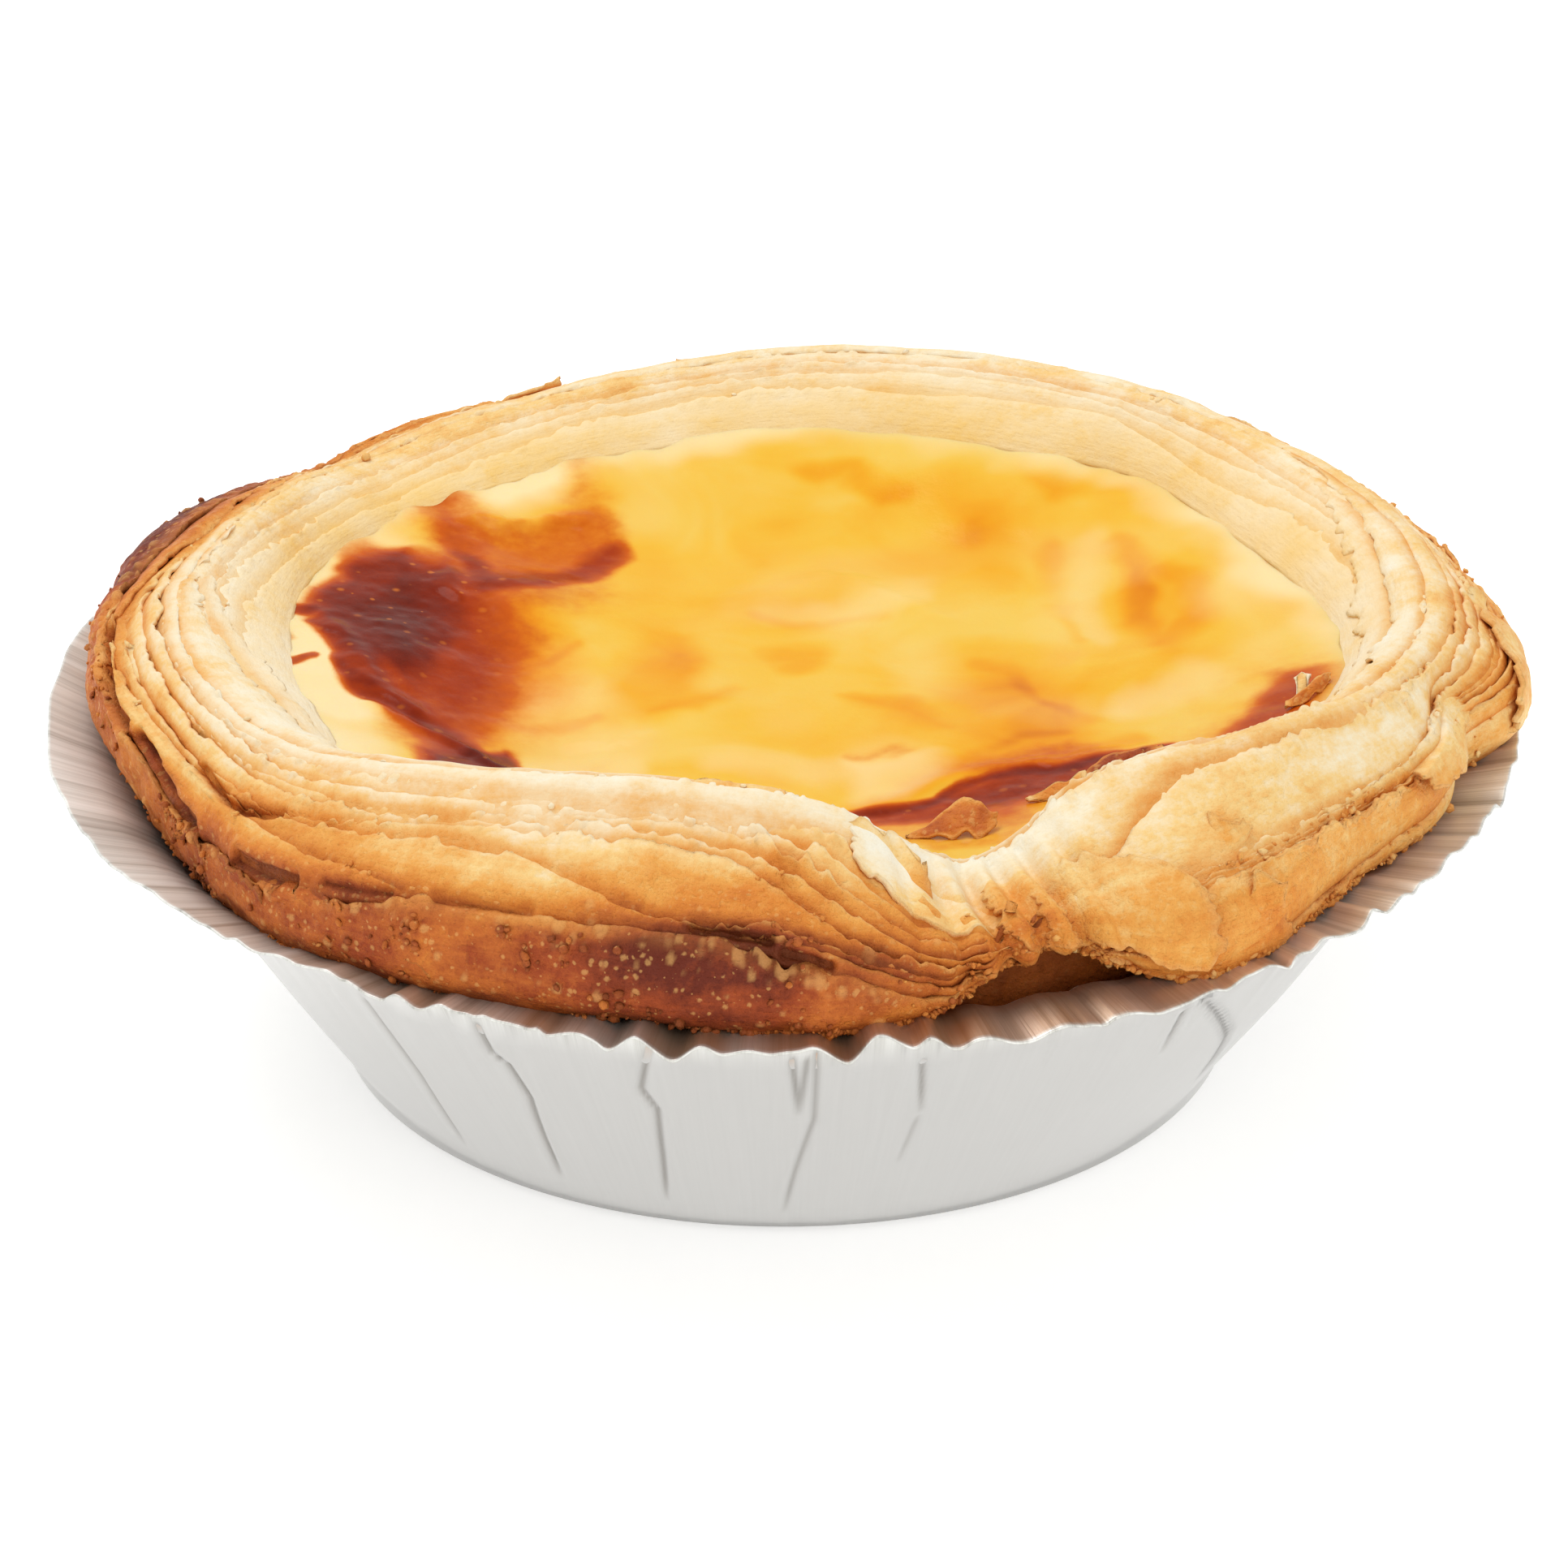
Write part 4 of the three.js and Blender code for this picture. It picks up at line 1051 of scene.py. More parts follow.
def makeLeaf(name, upper, lower, free, base, thick, bake, seed):
    start, end = upper[0][0], upper[-1][0]
    tall = max(u[1] for u in upper) - min(u[1] for u in lower)
    columns = int(max(12, (end - start) * 0.64 / leafGrid))
    rows = int(max(8, tall * outlineLength / leafGrid))
    piece, column, row = newGrid(name, columns, rows)
    u = column / columns
    v = row / rows
    flat = 0 * u
    edge = np.stack([flat, v * tall * outlineLength, flat + seed], 1)
    edgeNoise = noise(edge, 0.9, seed) + 0.7 * noise(edge, 0.4, seed + 1)
    ends = (u > 0.5) * u ** 8 * (free.get("right", 0) > 0) + (1 - u) ** 8 * (free.get("left", 0) > 0)
    deg = start + (end - start) * u + 0.55 * edgeNoise * ends
    top = np.interp(deg, *zip(*upper))
    bottom = np.interp(deg, *zip(*lower))
    topTorn, bottomTorn = (
        0.016 * rimNoise(deg, flat, 1.0, seed + k) + 0.018 * rimNoise(deg, flat, 0.45, seed + k + 1)
        for k in (2, 4))
    s = mix(bottom, top, v) + topTorn * v ** 6 * (free.get("top", 0) > 0)
    s = s + bottomTorn * (1 - v) ** 6 * (free.get("bottom", 0) > 0)
    rise = flat
    closed = flat + 1.0
    for side, away in (("left", u), ("right", 1 - u), ("bottom", v), ("top", 1 - v)):
        by = free.get(side, 0)
        if by:
            rise = rise + by * (1 - away) ** 3
        else:
            closed = closed * ramp(away, 0.0, 0.3)
    lumps = relief(deg, s)[0]
    out = base * closed - 0.25 * (1 - closed) + rise * closed + lumps * 0.9
    out = out + 0.08 * rimNoise(deg, s, 1.8, seed + 6) + 0.05 * rimNoise(deg, s, 0.7, seed + 7)
    rim = np.minimum.reduce([u, 1 - u, v, 1 - v])
    torn = (1 - ramp(rim, 0, 0.08)) * closed
    r, z = rimSpot(deg, s, out)
    bakes = browned(deg, s) + bake + 0.06 * torn
    paint(piece, bake=np.clip(bakes, 0.02, 1), torn=torn * 0.7, soaked=flat, trough=flat, grain=flat,
          rolled=toPoints(deg, rimRadius, s * 64 + seed))
    points = toPoints(deg, r, z)
    rollUp(piece, points)
    middle = piece.data.polygons[len(piece.data.polygons) // 2]
    a = math.radians((start + end) / 2)
    outward = math.cos(a) * middle.normal.x + math.sin(a) * middle.normal.y + 0.8 * middle.normal.z
    if outward < 0:
        bpy.ops.object.mode_set(mode="EDIT")
        bpy.ops.mesh.select_all(action="SELECT")
        bpy.ops.mesh.flip_normals()
        bpy.ops.object.mode_set(mode="OBJECT")
    return thicken(piece, thick, -1)


leaves = [makeLeaf(name, *leaf, 501 + 11 * k) for k, (name, leaf) in enumerate(brokenLeaves.items())]
dress(joinPieces("brokenLeaves", leaves), pastryMaterial)

leaves = []
random = np.random.default_rng(scatteredLeaves["seed"])
for k in range(scatteredLeaves["count"]):
    at = (k + random.uniform(-0.4, 0.4)) * 360 / scatteredLeaves["count"] - 180
    width = random.uniform(*scatteredLeaves["width"])
    tall = random.uniform(*scatteredLeaves["height"])
    foot = random.uniform(0.1, 0.58)
    if -118 < at < -24:  # the front shows its sheets
        continue
    steps = np.linspace(0, 1, 7)
    crown = foot + tall * np.sin(np.pi * (0.06 + 0.88 * steps)) ** 0.6 * random.uniform(0.75, 1.1, 7)
    upper = [(at + width * (t - 0.5), c) for t, c in zip(steps, crown)]
    lower = [(at + width * (t - 0.5), foot - 0.02) for t in steps]
    free = {"top": random.uniform(0.08, 0.3),
            "left" if random.random() < 0.5 else "right": random.uniform(0.05, 0.25)}
    leaves.append(makeLeaf("leaf%d" % k, upper, lower, free, 0.1, 0.24, random.uniform(-0.05, 0.06),
                           901 + 13 * k))
dress(joinPieces("scatteredLeaves", leaves), pastryMaterial)
print("broken leaves laid")

# Pastry: loose crumbs and shards
looseBits = {
    "crumbs": 2800, "crumbSize": (.08, .26),
    "shards": 90, "shardSize": (.15, .42),
    # where they gather: azimuth, share, then how far round and along in mm
    "clumps": [(-109, .28, 2.2, .7), (-126.5, .34, 1.6, .8), (-120, .275, 1.2, .6), (-133, .01, 1.6, .5),
               (-97, .05, 1.0, .8), (-90, .03, 2.4, .6), (-86, .06, 1.2, .8), (-82, .02, 1.2, .5),
               (-76, .03, 2.4, .5), (-102, .14, 1.4, .8), (-68, .2, 1.6, .8), (-60, .1, 2.4, .5),
               (-52, .06, 2.2, .5), (-151, .22, 1.6, .8), (-172, .36, 1.6, .8), (-40, .08, 3.0, .5)],
    # amounts round the rim
    "where": [(-180, .8), (-150, 1.0), (-120, .8), (-95, 1.0), (-84, 1.5), (-66, 1.5), (-50, .7), (-30, .6),
              (-10, 1.0), (20, .6), (120, .5), (160, .8)],
}


def baseShape(shards):
    bpy.ops.object.select_all(action="DESELECT")
    if shards:
        bpy.ops.mesh.primitive_cube_add(size=2)
        bpy.ops.object.mode_set(mode="EDIT")
        bpy.ops.mesh.subdivide(number_cuts=1)
        bpy.ops.object.mode_set(mode="OBJECT")
    else:
        bpy.ops.mesh.primitive_ico_sphere_add(subdivisions=1, radius=1)
    base = bpy.context.object
    corners = np.array([v.co[:] for v in base.data.vertices])
    faces = [list(f.vertices) for f in base.data.polygons]
    bpy.data.objects.remove(base)
    return corners, faces


def scatterBits(name, shards, count, sizes, seed):
    random = np.random.default_rng(seed)
    sites = np.concatenate(crumbSites)
    weight = sites[:, 5] * aroundTart(sites[:, 3], looseBits["where"], 5)
    clump = ramp(rimNoise(sites[:, 3], sites[:, 4], 3.2, seed), -0.1, 0.55)
    for at, share, wide, tall in looseBits["clumps"]:
        sideways = (turnFrom(sites[:, 3], at) * perDegree / wide) ** 2
        upwards = ((sites[:, 4] - share) * outlineLength / tall) ** 2
        clump = clump + 14 * np.exp(-(sideways + upwards))
    weight = weight * (0.06 + clump)
    picked = sites[random.choice(len(sites), count, p=weight / weight.sum())]
    deg, share, bake = picked[:, 3], picked[:, 4], picked[:, 6]
    low = np.stack(rimSpot(deg, share, 0 * deg), 1)
    high = np.stack(rimSpot(deg, share, 0 * deg + 1), 1)
    a = np.radians(deg)
    lean = high - low
    normal = np.stack([lean[:, 0] * np.cos(a), lean[:, 0] * np.sin(a), lean[:, 1]], 1)
    across = np.stack([-np.sin(a), np.cos(a), 0 * a], 1)
    upward = np.cross(normal, across)
    corners, faces = baseShape(shards)
    size = random.uniform(0, 1, count) ** 2.2 * (sizes[1] - sizes[0]) + sizes[0]
    points, bakes = [], []
    for k in range(count):
        shape = corners * random.uniform(0.8, 1.2, corners.shape)
        if shards:
            shape = shape * [size[k], size[k] * random.uniform(0.35, 0.8), random.uniform(0.05, 0.09)]
            shape[:, 2] += random.uniform(-0.5, 0.9) * shape[:, 0] ** 2 / size[k]
            tilt = random.uniform(-0.2, 0.4)
            turn = random.normal(0, 0.6)
            height = 0.03
        else:
            shape = shape * size[k] * random.uniform(0.45, 1.5, 3)
            tilt, turn = random.uniform(-3, 3, 2)
            height = size[k] * 0.45
        shape = shape @ np.array([[math.cos(tilt), 0, math.sin(tilt)], [0, 1, 0],
                                  [-math.sin(tilt), 0, math.cos(tilt)]])
        shape = shape @ np.array([[math.cos(turn), math.sin(turn), 0], [-math.sin(turn), math.cos(turn), 0],
                                  [0, 0, 1]])
        axes = np.stack([across[k], upward[k], normal[k]])
        points.append(shape @ axes + picked[k, :3] + normal[k] * height)
        bakes.append(np.full(len(corners), bake[k] + random.normal(-0.05, 0.07)))
    points = np.concatenate(points)
    mesh = bpy.data.meshes.new(name)
    step = len(corners)
    allFaces = [[v + k * step for v in face] for k in range(count) for face in faces]
    mesh.from_pydata((points * mm).tolist(), [], allFaces)
    piece = bpy.data.objects.new(name, mesh)
    bpy.context.collection.objects.link(piece)
    bakes = np.clip(np.concatenate(bakes), 0.05, 0.85)
    zero = 0 * bakes
    paint(piece, bake=bakes + 0.08, torn=zero + 0.25, trough=zero, grain=zero, soaked=zero, rolled=points)
    mesh.shade_smooth()
    dress(piece, pastryMaterial)
    return piece


scatterBits("looseCrumbs", False, looseBits["crumbs"], looseBits["crumbSize"], 17)
scatterBits("looseShards", True, looseBits["shards"], looseBits["shardSize"], 23)
print("crumbs and shards scattered")

# Custard
custardFilling = {
    "around": 700,
    "across": 134,
    "middleZ": 20.7,
    # the solids' blisters and hollows: x, y, radius, height in mm
    "swells": [(-15.5, 9.5, 4.6, 1.1), (-21.5, 1.5, 4.2, 1.0), (-13.0, -8.0, 3.4, -.7),
               (-6.5, -3.5, 5.0, .45), (10.5, -8.5, 6.0, .55), (9.0, 9.0, 4.2, .5), (19.5, 1.0, 4.4, .6),
               (.5, 12.5, 4.6, .4)],
    # smaller ones, for the skin's own folds
    "folds": [(-22.8, 9.6, 3.6, .5), (-15.2, 22.8, 3.2, .6), (-13.8, 15.6, 2.4, -.35), (-19.8, 19.0, 2.0, .3),
              (-6.0, 2.5, 3.2, .15), (21.0, 11.0, 2.2, .2), (10.8, 19.5, 2.2, .2), (13.0, -4.5, 3.0, .25)],
}
# Coloured areas in mm: outline, softness of its edge, amount. Lines: points, half width, softness, amount.
scorched = [
    ([(-19.6, 12), (-14.5, 12.5), (-12.4, 9.4), (-11.6, 5.2), (-12.3, -1.4), (-14.6, -5.4), (-18, -8),
      (-22, -5)], 3.2, .18),
    ([(-21.5, 1.4), (-20.5, 9), (-18.2, 10.2), (-16.4, 8.2), (-15.8, 3), (-15.9, -3.8), (-17, -7.3),
      (-19.1, -8.2), (-21.1, -4.6)], 2.3, .5),
    ([(-26.5, 7.9), (-24.7, 12.0), (-21.9, 13.9), (-19.8, 11.5), (-19.4, 8.1), (-19.6, 2.7), (-20.8, -1.9),
      (-23.4, -.8), (-25.8, 3.3)], 1.1, .74),
    ([(-24.6, 6.6), (-22, 9.4), (-20.4, 6), (-20.6, 1), (-22.4, .4), (-24.4, 3)], 1.4, .4),
    ([(-26.0, 3.2), (-23.5, .6), (-21.2, -3.7), (-19.0, -6.3), (-16.2, -8.1), (-14.0, -11.1), (-16.1, -10.7),
      (-18.9, -8.6), (-21.0, -6.7), (-23.3, -4.4)], .6, .6),
    ([(-19.4, -10.8), (-17.0, -9.4), (-14.5, -7.4), (-13.4, -10.7), (-16.0, -12.6), (-19.3, -13.4)], .6, .78),
    ([(-21.4, 22.0), (-20.3, 23.6), (-18.9, 22.0), (-17.9, 17.8), (-18.4, 13.7), (-19.7, 12.3), (-20.7, 15.6),
      (-20.6, 19.5)], 1.6, .46),
    ([(-18.2, 14.7), (-17.5, 17.8), (-15.7, 19.0), (-13.5, 19.2), (-11.8, 21.6), (-10.7, 22.5), (-9.3, 20.6),
      (-8.8, 17.5), (-10.3, 15.2), (-13.8, 12.5), (-16.8, 10.6), (-18.1, 11.9)], 1.3, .33),
    ([(-13.5, 27.6), (-12.6, 29.2), (-11.9, 27.7), (-11.5, 23.6), (-12.2, 22.4), (-12.5, 25.3)], 1.0, .24),
    ([(22.5, -11.1), (24.6, -8.0), (26.4, -5.3), (27.6, -3.4), (29.2, -3.5), (29.3, -5.4), (28.5, -7.6),
      (25.8, -10.0)], 1.0, .42),
    ([(20.5, -10), (25, -4.5), (27.0, -.5), (29.4, -1), (30, -7), (26, -11)], 2.4, .2),
    ([(9.2, -11.4), (12.3, -9.3), (15.6, -8.1), (18.1, -9.6), (16, -12.6), (11.6, -13.3)], 1.5, .34),
    ([(4.6, -15.3), (8.3, -14.9), (12.9, -12.9), (18.1, -11.1), (20.4, -10.8), (18.4, -13.0), (14.4, -15.6),
      (9.0, -17.4), (5.6, -17.0)], .8, .56),
    ([(5.4, -17.4), (9, -17.4), (14, -15.8), (17.5, -13.5), (15, -18), (12.5, -22), (8, -22), (5.2, -19.5)],
     1.0, .22),
    ([(9.6, -15.2), (13.6, -13.6), (14.6, -15.0), (12.6, -17.6), (10.4, -17.8)], 1.0, .3),
]
scorchedLines = [
    ([(-18.2, 13.4), (-16.8, 11.4), (-13.8, 12.6), (-10.8, 15.4), (-9.3, 17.0)], .9, .8, .42),
    ([(-18.1, 9.8), (-13.3, 10.6), (-11, 13)], 1.3, .9, .2),
    ([(4.6, -15.0), (8.3, -14.8), (10.3, -13.4), (12.9, -12.5), (16.1, -11.8), (18.1, -10.8), (20.4, -10.2)],
     .5, .8, .6),
    ([(4.1, -8.3), (5.2, -8.3), (5.9, -7.6), (6.8, -8.4)], .4, .9, .2),
    ([(-27.7, 4.4), (-27.0, 4.8), (-26.2, 4.7)], .45, .7, .5),
    ([(-27.5, -2.8), (-26.8, -2.2), (-25.9, -1.6)], .4, .6, .5), ([(-28.4, 1.6), (-27.4, 1.0)], .5, .8, .3),
    ([(-24.6, -1.2), (-23.4, -2.6), (-22.6, -3.0)], .3, .8, .3),
]
ambered = [
    ([(-18, 13), (-12.4, 13), (-10.8, 9), (-11.4, 3), (-13.4, -3.5), (-15.5, -7), (-19, -9)], 2.6, .08),
    ([(-9.8, -1.1), (-8.6, 1.5), (-7.3, 4.6), (-5.4, 4), (-5.6, -2), (-6.9, -4.2), (-8.7, -3.6)], 1.6, .34),
    ([(-8.0, 7.2), (-6.0, 6.0), (-5.0, 2.5), (-6, 0)], 1.4, .26),
    ([(7.6, 23.0), (11.6, 22.6), (13.2, 18.6), (11.6, 14.4), (8.8, 17.6)], 2.4, .26),
    ([(9.8, 20.8), (11.2, 20.6), (11.6, 18.2), (10.6, 16.8), (9.9, 18.6)], 1.4, .36),
    ([(14.6, 23.5), (16.3, 21.8), (14.7, 20.7)], .9, .3),
    ([(20.0, 15.4), (21.6, 11.7), (21.5, 5.4), (20.5, 5.8)], 1.4, .3),
    ([(10.6, 3.9), (14.6, 2.0), (17.2, -4), (16.2, -8.8), (10.3, -12.2), (8.8, -4.9)], 2.6, .38),
    ([(-7.8, -3.6), (-4.9, -1.9), (-2.9, -.6), (-4.9, -3.8)], .8, .36),
    ([(3.0, -1.6), (6.6, -2.0), (8.2, -4.8), (5.3, -3.4)], .6, .4),
    ([(-17.6, 15.4), (-15.7, 16.7), (-13.5, 17.6), (-11.9, 20.2), (-10.6, 21.4), (-10, 18), (-13, 14.6),
      (-16.6, 13)], 1.2, .8),
    ([(-17.0, 10.5), (-13.6, 9.0), (-12.4, 4), (-13, -2), (-15.4, -6.4), (-18, -6)], 2.2, .5),
    ([(-5.2, 29.4), (-3.2, 29.6), (-3.4, 30.8)], .7, .4),
]
amberedLines = [
    ([(19.7, 15.9), (20.9, 12.6), (20.8, 5.6), (21.8, 2.6), (23.6, 5.1), (23.3, 9.5), (22.2, 11.4)],
     .7, .8, .32),
    ([(15.0, 17.1), (15.5, 12.1), (16.5, 4.1)], .45, .9, .24),
    ([(1.8, 25.2), (3.8, 25.9), (4.5, 24.0), (6.6, 22.9)], .6, .9, .36),
    ([(-.3, 4.8), (1.0, 4.2), (.4, 2.4)], .75, .8, .3),
    ([(-15.4, 2.1), (-13.5, 2.4), (-11.6, 4.8)], .35, .8, .4),
    ([(-17.5, -6.4), (-14.6, -5.1), (-12.5, -4.7), (-10.9, -4.0)], .35, .8, .4),
    ([(10.6, 2.4), (13.2, 1.6), (14.2, -1.6), (16.9, -5.5)], .5, .8, .26),
    ([(7.2, -12.2), (9.6, -10.2), (12.8, -7.4), (15.2, -6.8)], .5, .9, .26),
    ([(-1.5, 9.6), (1.6, 7.8), (5.6, 8.4)], .4, .9, .22),
    ([(4.8, -14.2), (11, -11.2), (19.4, -8.6)], .7, .9, .4),
]
milky = [
    ([(-25.2, 1.8), (-23.6, -2.1), (-21.9, -7.3), (-24.4, -8.6), (-27.3, -7.1), (-28.1, -.2)], 1.0, .62),
    ([(-17.2, 23.4), (-15.5, 27.0), (-13.2, 25.3), (-12.7, 22.4), (-15.3, 20.6), (-16.9, 20.6)], 1.0, .55),
    ([(4.2, -8.9), (7.8, -9.1), (9.0, -11.5), (6.7, -13.4), (4.2, -13.1)], .8, .5),
    ([(-15.0, -2), (-10.4, 0), (-8, -6), (-9.5, -11), (-14.0, -9.5)], 2.2, .34),
    ([(24.2, 18.4), (28.3, 12.0), (30.0, 2.0), (27.0, .9), (24.2, 10.7)], 1.6, .3),
    ([(-13, 28), (-4, 29.5), (8, 29), (18, 26), (17, 30), (2, 33), (-14, 31)], 1.6, .3),
    ([(-26, 14), (-22, 21), (-20, 26), (-24, 22), (-28, 13)], 1.2, .5),
]
milkyLines = [
    ([(-.6, 9.7), (3.0, 9.0), (7.1, 11.1)], 1.2, .9, .3),
    ([(19.3, -4.4), (21.6, -3.4), (23.7, -.6)], .9, .8, .4), ([(-3, -9), (2, -11), (6, -9)], 1.2, .9, .3),
    ([(-13.2, -9.6), (-11.0, -12.0), (-9.0, -10.7)], .8, .9, .3),
    ([(17.8, 17.0), (17.2, 10), (18.6, 4)], .9, .9, .22),
]


# covers each place with its areas and lines, the stronger on top of the weaker
def painted(x, y, areas, lines):
    left = np.ones(len(x))
    flat = np.stack([x, y, 0 * x], 1)
    # some edges are crisp, some run into the cream
    blur = 1.15 + 1.7 * ramp(noise(flat, 5.0, 79), -0.3, 0.7)
    for outline, soft, by in areas:
        left = left * (1 - by * ramp(insideBy(x, y, outline) / (soft * blur), -1, 0.7))
    for line, half, soft, by in lines:
        away = strokeDistance(x, y, line) / half
        left = left * (1 - by * (1 - ramp(away, 1 - soft, 1 + soft * blur)))
    return 1 - left


# where the custard ends on the pastry, lapping up here and there
def custardEdge(deg):
    q = rimSizes(deg)
    lap = 0.55 * rimNoise(deg, 0 * deg, 5.0, 91) + 0.35 * rimNoise(deg, 0 * deg, 1.9, 92)
    return q["lineR"] + 0.4 + lap, q["lineZ"] - 0.1 + 0.5 * lap


def custardHeight(x, y):
    reach, edgeZ = custardEdge(np.degrees(np.arctan2(y, x)))
    share = np.hypot(x, y) / reach
    z = mix(custardFilling["middleZ"], edgeZ, smooth((share - 0.45) / 0.6) ** 1.3)
    for cx, cy, radius, height in custardFilling["swells"] + custardFilling["folds"]:
        z = z + height * np.exp(-((x - cx) ** 2 + (y - cy) ** 2) / radius ** 2) * (1 - share ** 6)
    return z


def buildCustard():
    style = custardFilling
    across = style["across"]
    piece, column, row = newGrid("custardFilling", style["around"], across + 4)
    deg = (column % style["around"]) * 360.0 / style["around"]
    reach, edgeZ = custardEdge(deg)
    share = np.minimum(row / across, 1.0) ** 0.85
    r = share * reach
    a = np.radians(deg)
    x = r * np.cos(a)
    y = r * np.sin(a)
    flat = np.stack([x, y, 0 * x], 1)
    z = custardHeight(x, y)
    warpX = x + 0.8 * noise(flat, 5.0, 71) + 0.35 * noise(flat, 1.9, 72) + 0.12 * noise(flat, 0.8, 73)
    warpY = y + 1.0 * noise(flat, 5.0, 74) + 0.4 * noise(flat, 1.9, 75) + 0.12 * noise(flat, 0.8, 76)
    scorch = painted(warpX, warpY, scorched, scorchedLines)
    amber = painted(warpX, warpY, ambered, amberedLines)
    pale = painted(warpX, warpY, milky, milkyLines) * (1 - scorch)
    # it pales towards the pastry, over a wider strip on the left
    left = np.minimum(1, 1.2 * hump(deg, -175, 50))
    edge = ramp(share + 0.04 * noise(flat, 4.5, 85) + 0.02 * noise(flat, 1.7, 86), mix(0.9, 0.8, left), 1.0)
    pale = np.clip(pale + mix(0.6, 0.9, left) * edge * (1 - scorch) + 0.14 * noise(flat, 4.0, 77), 0, 1)
    amber = np.clip(amber + 0.16 + 0.14 * noise(flat, 7.0, 78) + 0.06 * noise(flat, 2.6, 87), 0, 1)
    calm = 1 - share ** 8
    z = z + calm * (0.10 * noise(flat, 6.0, 81) + 0.05 * noise(flat, 2.4, 82))
    z = z + calm * scorch * (0.10 * noise(flat, 1.4, 83) + 0.05 * noise(flat, 0.6, 84))
    # the skin's own wrinkles, where it scorched and shrank
    for line, height, half in (([(-22.6, -5.8), (-19.9, -7.8), (-17.0, -8.8), (-14.6, -10.8)], 0.3, 0.5),
                               ([(-25.4, 4.0), (-24.2, 0.6), (-22.8, -2.6), (-20.6, -5.0)], 0.35, 0.6),
                               ([(-21.6, 14.2), (-19.6, 12.4), (-18.4, 9.6)], 0.25, 0.6),
                               ([(-18.0, 19.6), (-15.0, 18.8), (-11.4, 20.4)], 0.3, 0.6),
                               ([(-16.4, -4.4), (-12.8, -6.2), (-8.0, -6.8)], 0.14, 0.9),
                               ([(-2.0, 11.2), (3.4, 13.4), (8.6, 8.6)], 0.14, 1.0),
                               ([(14.0, 18.0), (15.4, 9.0), (17.4, 0.0)], 0.12, 1.1),
                               ([(5.0, -14.4), (11.0, -11.8), (19.0, -9.8)], 0.2, 0.8)):
        z = z + height * np.exp(-(strokeDistance(warpX, warpY, line) / half) ** 2) * calm
    # side and underside, inside the pastry
    below = row > across
    step = row - across
    r = np.where(below, np.choose(np.clip(step, 0, 4), [reach, reach - 0.2, 25.5, 22.0, 0.0]), r)
    z = np.where(below, np.choose(np.clip(step, 0, 4), [z, edgeZ - 1.4, 12.0, 3.6, 3.5]), z)
    sugar = ramp(scorch, 0.3, 0.6) * (0.35 + 0.65 * np.exp(-((x + 21.5) ** 2 + (y - 9.5) ** 2) / 22))
    paint(piece, scorch=scorch, amber=amber, pale=pale, sugar=sugar)
    rollUp(piece, toPoints(deg, r, z))
    dress(piece, custardMaterial)
    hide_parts("custard")
    return piece


custardPiece = buildCustard()
print("custard made", len(custardPiece.data.polygons), "faces")

# Loose flakes fallen on the custard: upper and lower line, left to right, as (x, y, height above it) in mm,
# then how brown it is.
custardFlakes = {
    "brownFlake": ([(6.6, -19.9, .15), (7.7, -19.3, .5), (8.7, -18.8, 1.2), (9.7, -18.6, 1.5),
                    (10.5, -18.9, 1.4), (11.4, -19.1, .8)],
                   [(6.6, -20.0, .1), (8.1, -20.4, .05), (9.2, -20.6, .05), (10.4, -20.7, .1),
                    (11.4, -19.8, .3)], .74),
    "goldFlake": ([(13.3, -16.0, .25), (14.8, -15.2, .7), (16.3, -13.9, .6)],
                  [(13.3, -16.2, .1), (15.0, -16.2, .1), (16.0, -15.2, .1)], .52),
    "goldSliver": ([(15.4, -15.6, .3), (16.6, -14.2, .5), (17.9, -12.9, .4)],
                   [(15.4, -15.9, .1), (16.3, -15.7, .1), (17.8, -13.3, .15)], .4),
    "crustStrip": ([(16.2, -13.6, .25), (17.4, -12.2, .5), (18.9, -11.2, .5), (20.8, -10.2, .25)],
                   [(16.2, -14.4, .05), (17.5, -13.3, .05), (18.7, -12.3, .05), (20.8, -10.7, .05)], .88),
    "creamSliver": ([(28.3, -5.2, .6), (28.6, -4.7, .7), (28.9, -5.3, .6)],
                    [(28.2, -6.8, .1), (28.5, -6.9, .1), (28.8, -6.7, .1)], .3),
    "rightFlake": ([(27.4, -8.2, .3), (28.4, -7.3, .5), (29.4, -6.0, .5), (30.2, -5.0, .4)],
                   [(27.4, -8.7, .1), (28.4, -8.0, .1), (29.4, -6.8, .15), (30.2, -5.5, .2)], .68),
}


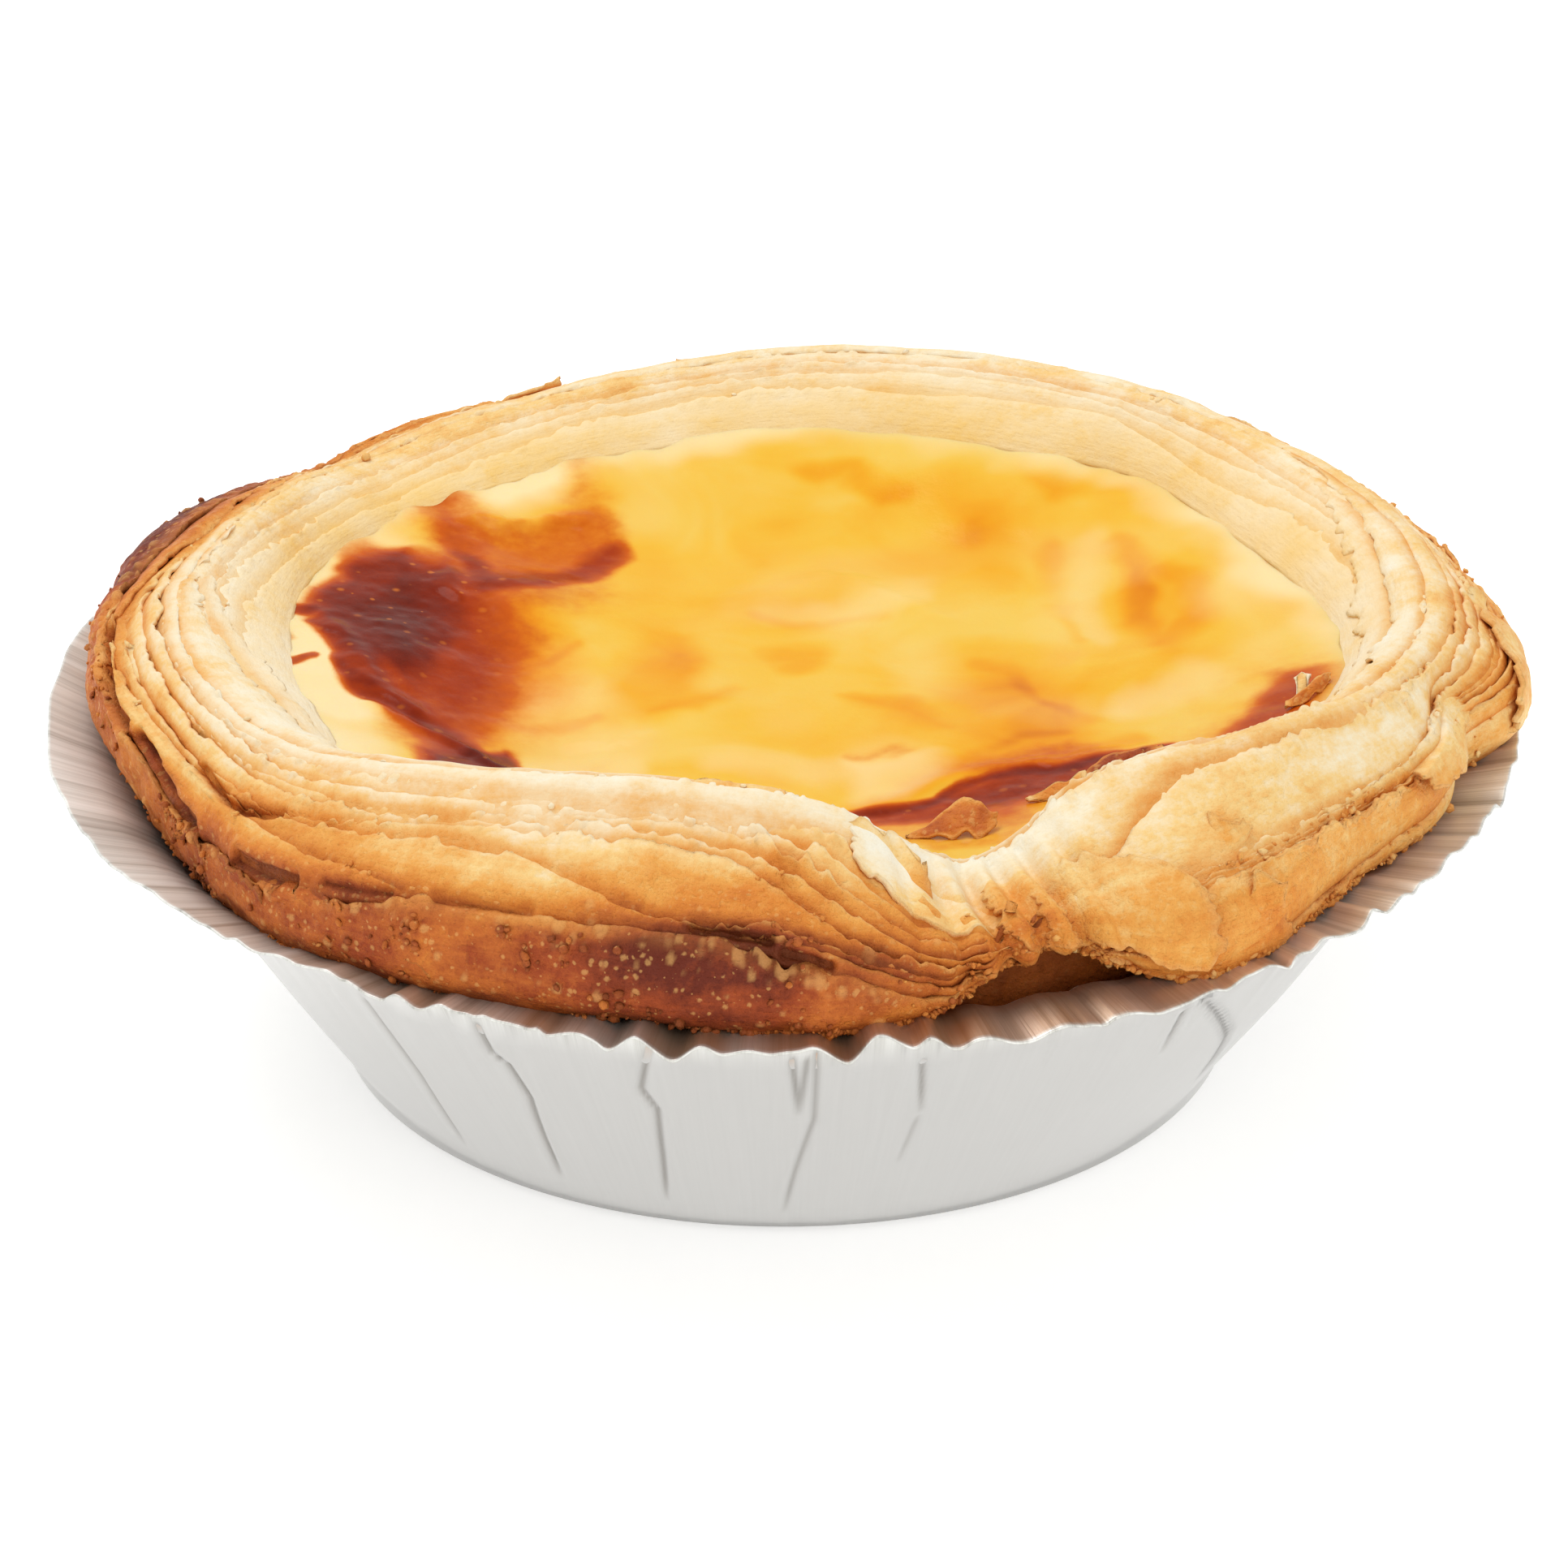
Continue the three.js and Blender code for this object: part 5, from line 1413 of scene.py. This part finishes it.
def makeFlake(name, upper, lower, bake, seed):
    lines = []
    for line in (lower, upper):
        spots = np.array(line)
        lines.append((np.linspace(0, 1, len(spots)), spots))
    length = np.hypot(*np.diff(lines[0][1][:, :2], axis=0).T).sum()
    wide = np.linalg.norm(lines[1][1].mean(0) - lines[0][1].mean(0))
    columns = max(14, int(length / 0.11))
    rows = max(10, int(wide / 0.1))
    piece, column, row = newGrid(name, columns, rows)
    u = column / columns
    v = row / rows
    foot, head = (
        np.stack([np.interp(u, along, spots[:, k]) for k in range(3)], 1) for along, spots in lines)
    strip = np.stack([u * length, v * wide, 0 * u + seed], 1)
    lengthwise = strip * [1, 0, 1]
    ragged = noise(lengthwise, 0.7, seed) * v ** 4 - noise(lengthwise, 0.8, seed + 1) * (1 - v) ** 4
    reach = v + 0.22 * ragged
    spot = mix(foot, head, reach[:, None])
    ends = noise(strip * [0, 1, 1], 0.6, seed + 2)
    spot[:, 0] += 0.25 * ends * (u ** 8 - (1 - u) ** 8)
    lumps = 0.14 * noise(strip, 0.8, seed + 3) + 0.05 * noise(strip, 0.35, seed + 4)
    blisters = grains(strip, 0.5, seed + 5, 0.5, 0.45)
    z = custardHeight(spot[:, 0], spot[:, 1]) + spot[:, 2] + lumps + 0.06 * blisters
    z = z + 0.12 * np.sin(np.pi * v) * np.sin(np.pi * u)
    rim = np.minimum.reduce([u, 1 - u, v, 1 - v])
    torn = 1 - ramp(rim, 0.02, 0.2)
    bakes = bake - 0.22 * torn + 0.08 * noise(strip, 1.2, seed + 6)
    points = np.column_stack([spot[:, :2], z])
    paint(piece, bake=bakes, torn=torn * 0.5, soaked=0 * u, trough=0 * u, grain=ramp(blisters, 0.3, 0.7),
          rolled=points)
    rollUp(piece, points)
    return thicken(piece, 0.2, 0)


flakes = [makeFlake(name, *flake, 701 + 11 * k) for k, (name, flake) in enumerate(custardFlakes.items())]
dress(joinPieces("custardFlakes", flakes), pastryMaterial)
print("flakes laid on the custard")

# Studio
studio = {
    "floor": 3.0,
    "worldStrength": 0.76,
    "key": {"at": (-0.22, 0.26, 0.62), "size": 0.42, "power": 2.0},
    "fill": {"at": (0.30, -0.60, 0.40), "size": 0.5, "power": 0.9},
    "camera": {"at": (0.0, -0.4019, 0.2170), "look": (0.0, 0.0, 0.01465), "lens": 183.61},
}


# Matt white photographer's board: an even, slightly glowing white
def whiteBoard():
    material, tree = newMaterial("whiteBoard")
    grain = addNode(tree, "TexNoise", {"Scale": 400.0, "Detail": 2.0})
    tone = addNode(tree, "ValToRGB", {"Fac": grain}, stops=[(0.3, "f4f4f3"), (0.7, "f6f6f5")])
    return finish(material, {"Roughness": 0.9, "Emission Color": (1, 1, 1, 1), "Emission Strength": 0.38,
                             "Specular IOR Level": 0.2, "Base Color": tone}, [])


bpy.ops.object.select_all(action="DESELECT")
bpy.ops.mesh.primitive_circle_add(vertices=96, radius=studio["floor"], fill_type="NGON",
                                  location=(0, 0, -0.0001))
floorPiece = bpy.context.object
floorPiece.name = "floorBoard"
bpy.ops.object.transform_apply(location=True, rotation=True, scale=True)
floorPiece.data.materials.append(whiteBoard())

world = bpy.data.worlds.new("softStudio")
world.use_nodes = True
world.node_tree.nodes["Background"].inputs["Color"].default_value = (1.0, 0.995, 0.985, 1)
world.node_tree.nodes["Background"].inputs["Strength"].default_value = studio["worldStrength"]
bpy.context.scene.world = world


def aimAt(piece, place):
    piece.rotation_euler = (Vector(place) - piece.location).to_track_quat("-Z", "Y").to_euler()


for name in ("key", "fill"):
    bpy.ops.object.light_add(type="AREA", location=studio[name]["at"])
    lamp = bpy.context.object
    lamp.name = name + "Light"
    lamp.data.size = studio[name]["size"]
    lamp.data.energy = studio[name]["power"]
    aimAt(lamp, (0, 0, 0.02))

bpy.ops.object.camera_add(location=studio["camera"]["at"])
camera = bpy.context.object
camera.data.lens = studio["camera"]["lens"]
camera.data.sensor_width = 36
camera.data.clip_end = 20
aimAt(camera, studio["camera"]["look"])
bpy.context.scene.camera = camera
bpy.context.scene.view_settings.view_transform = "Standard"
print("studio ready")

bpy.ops.object.select_all(action="DESELECT")
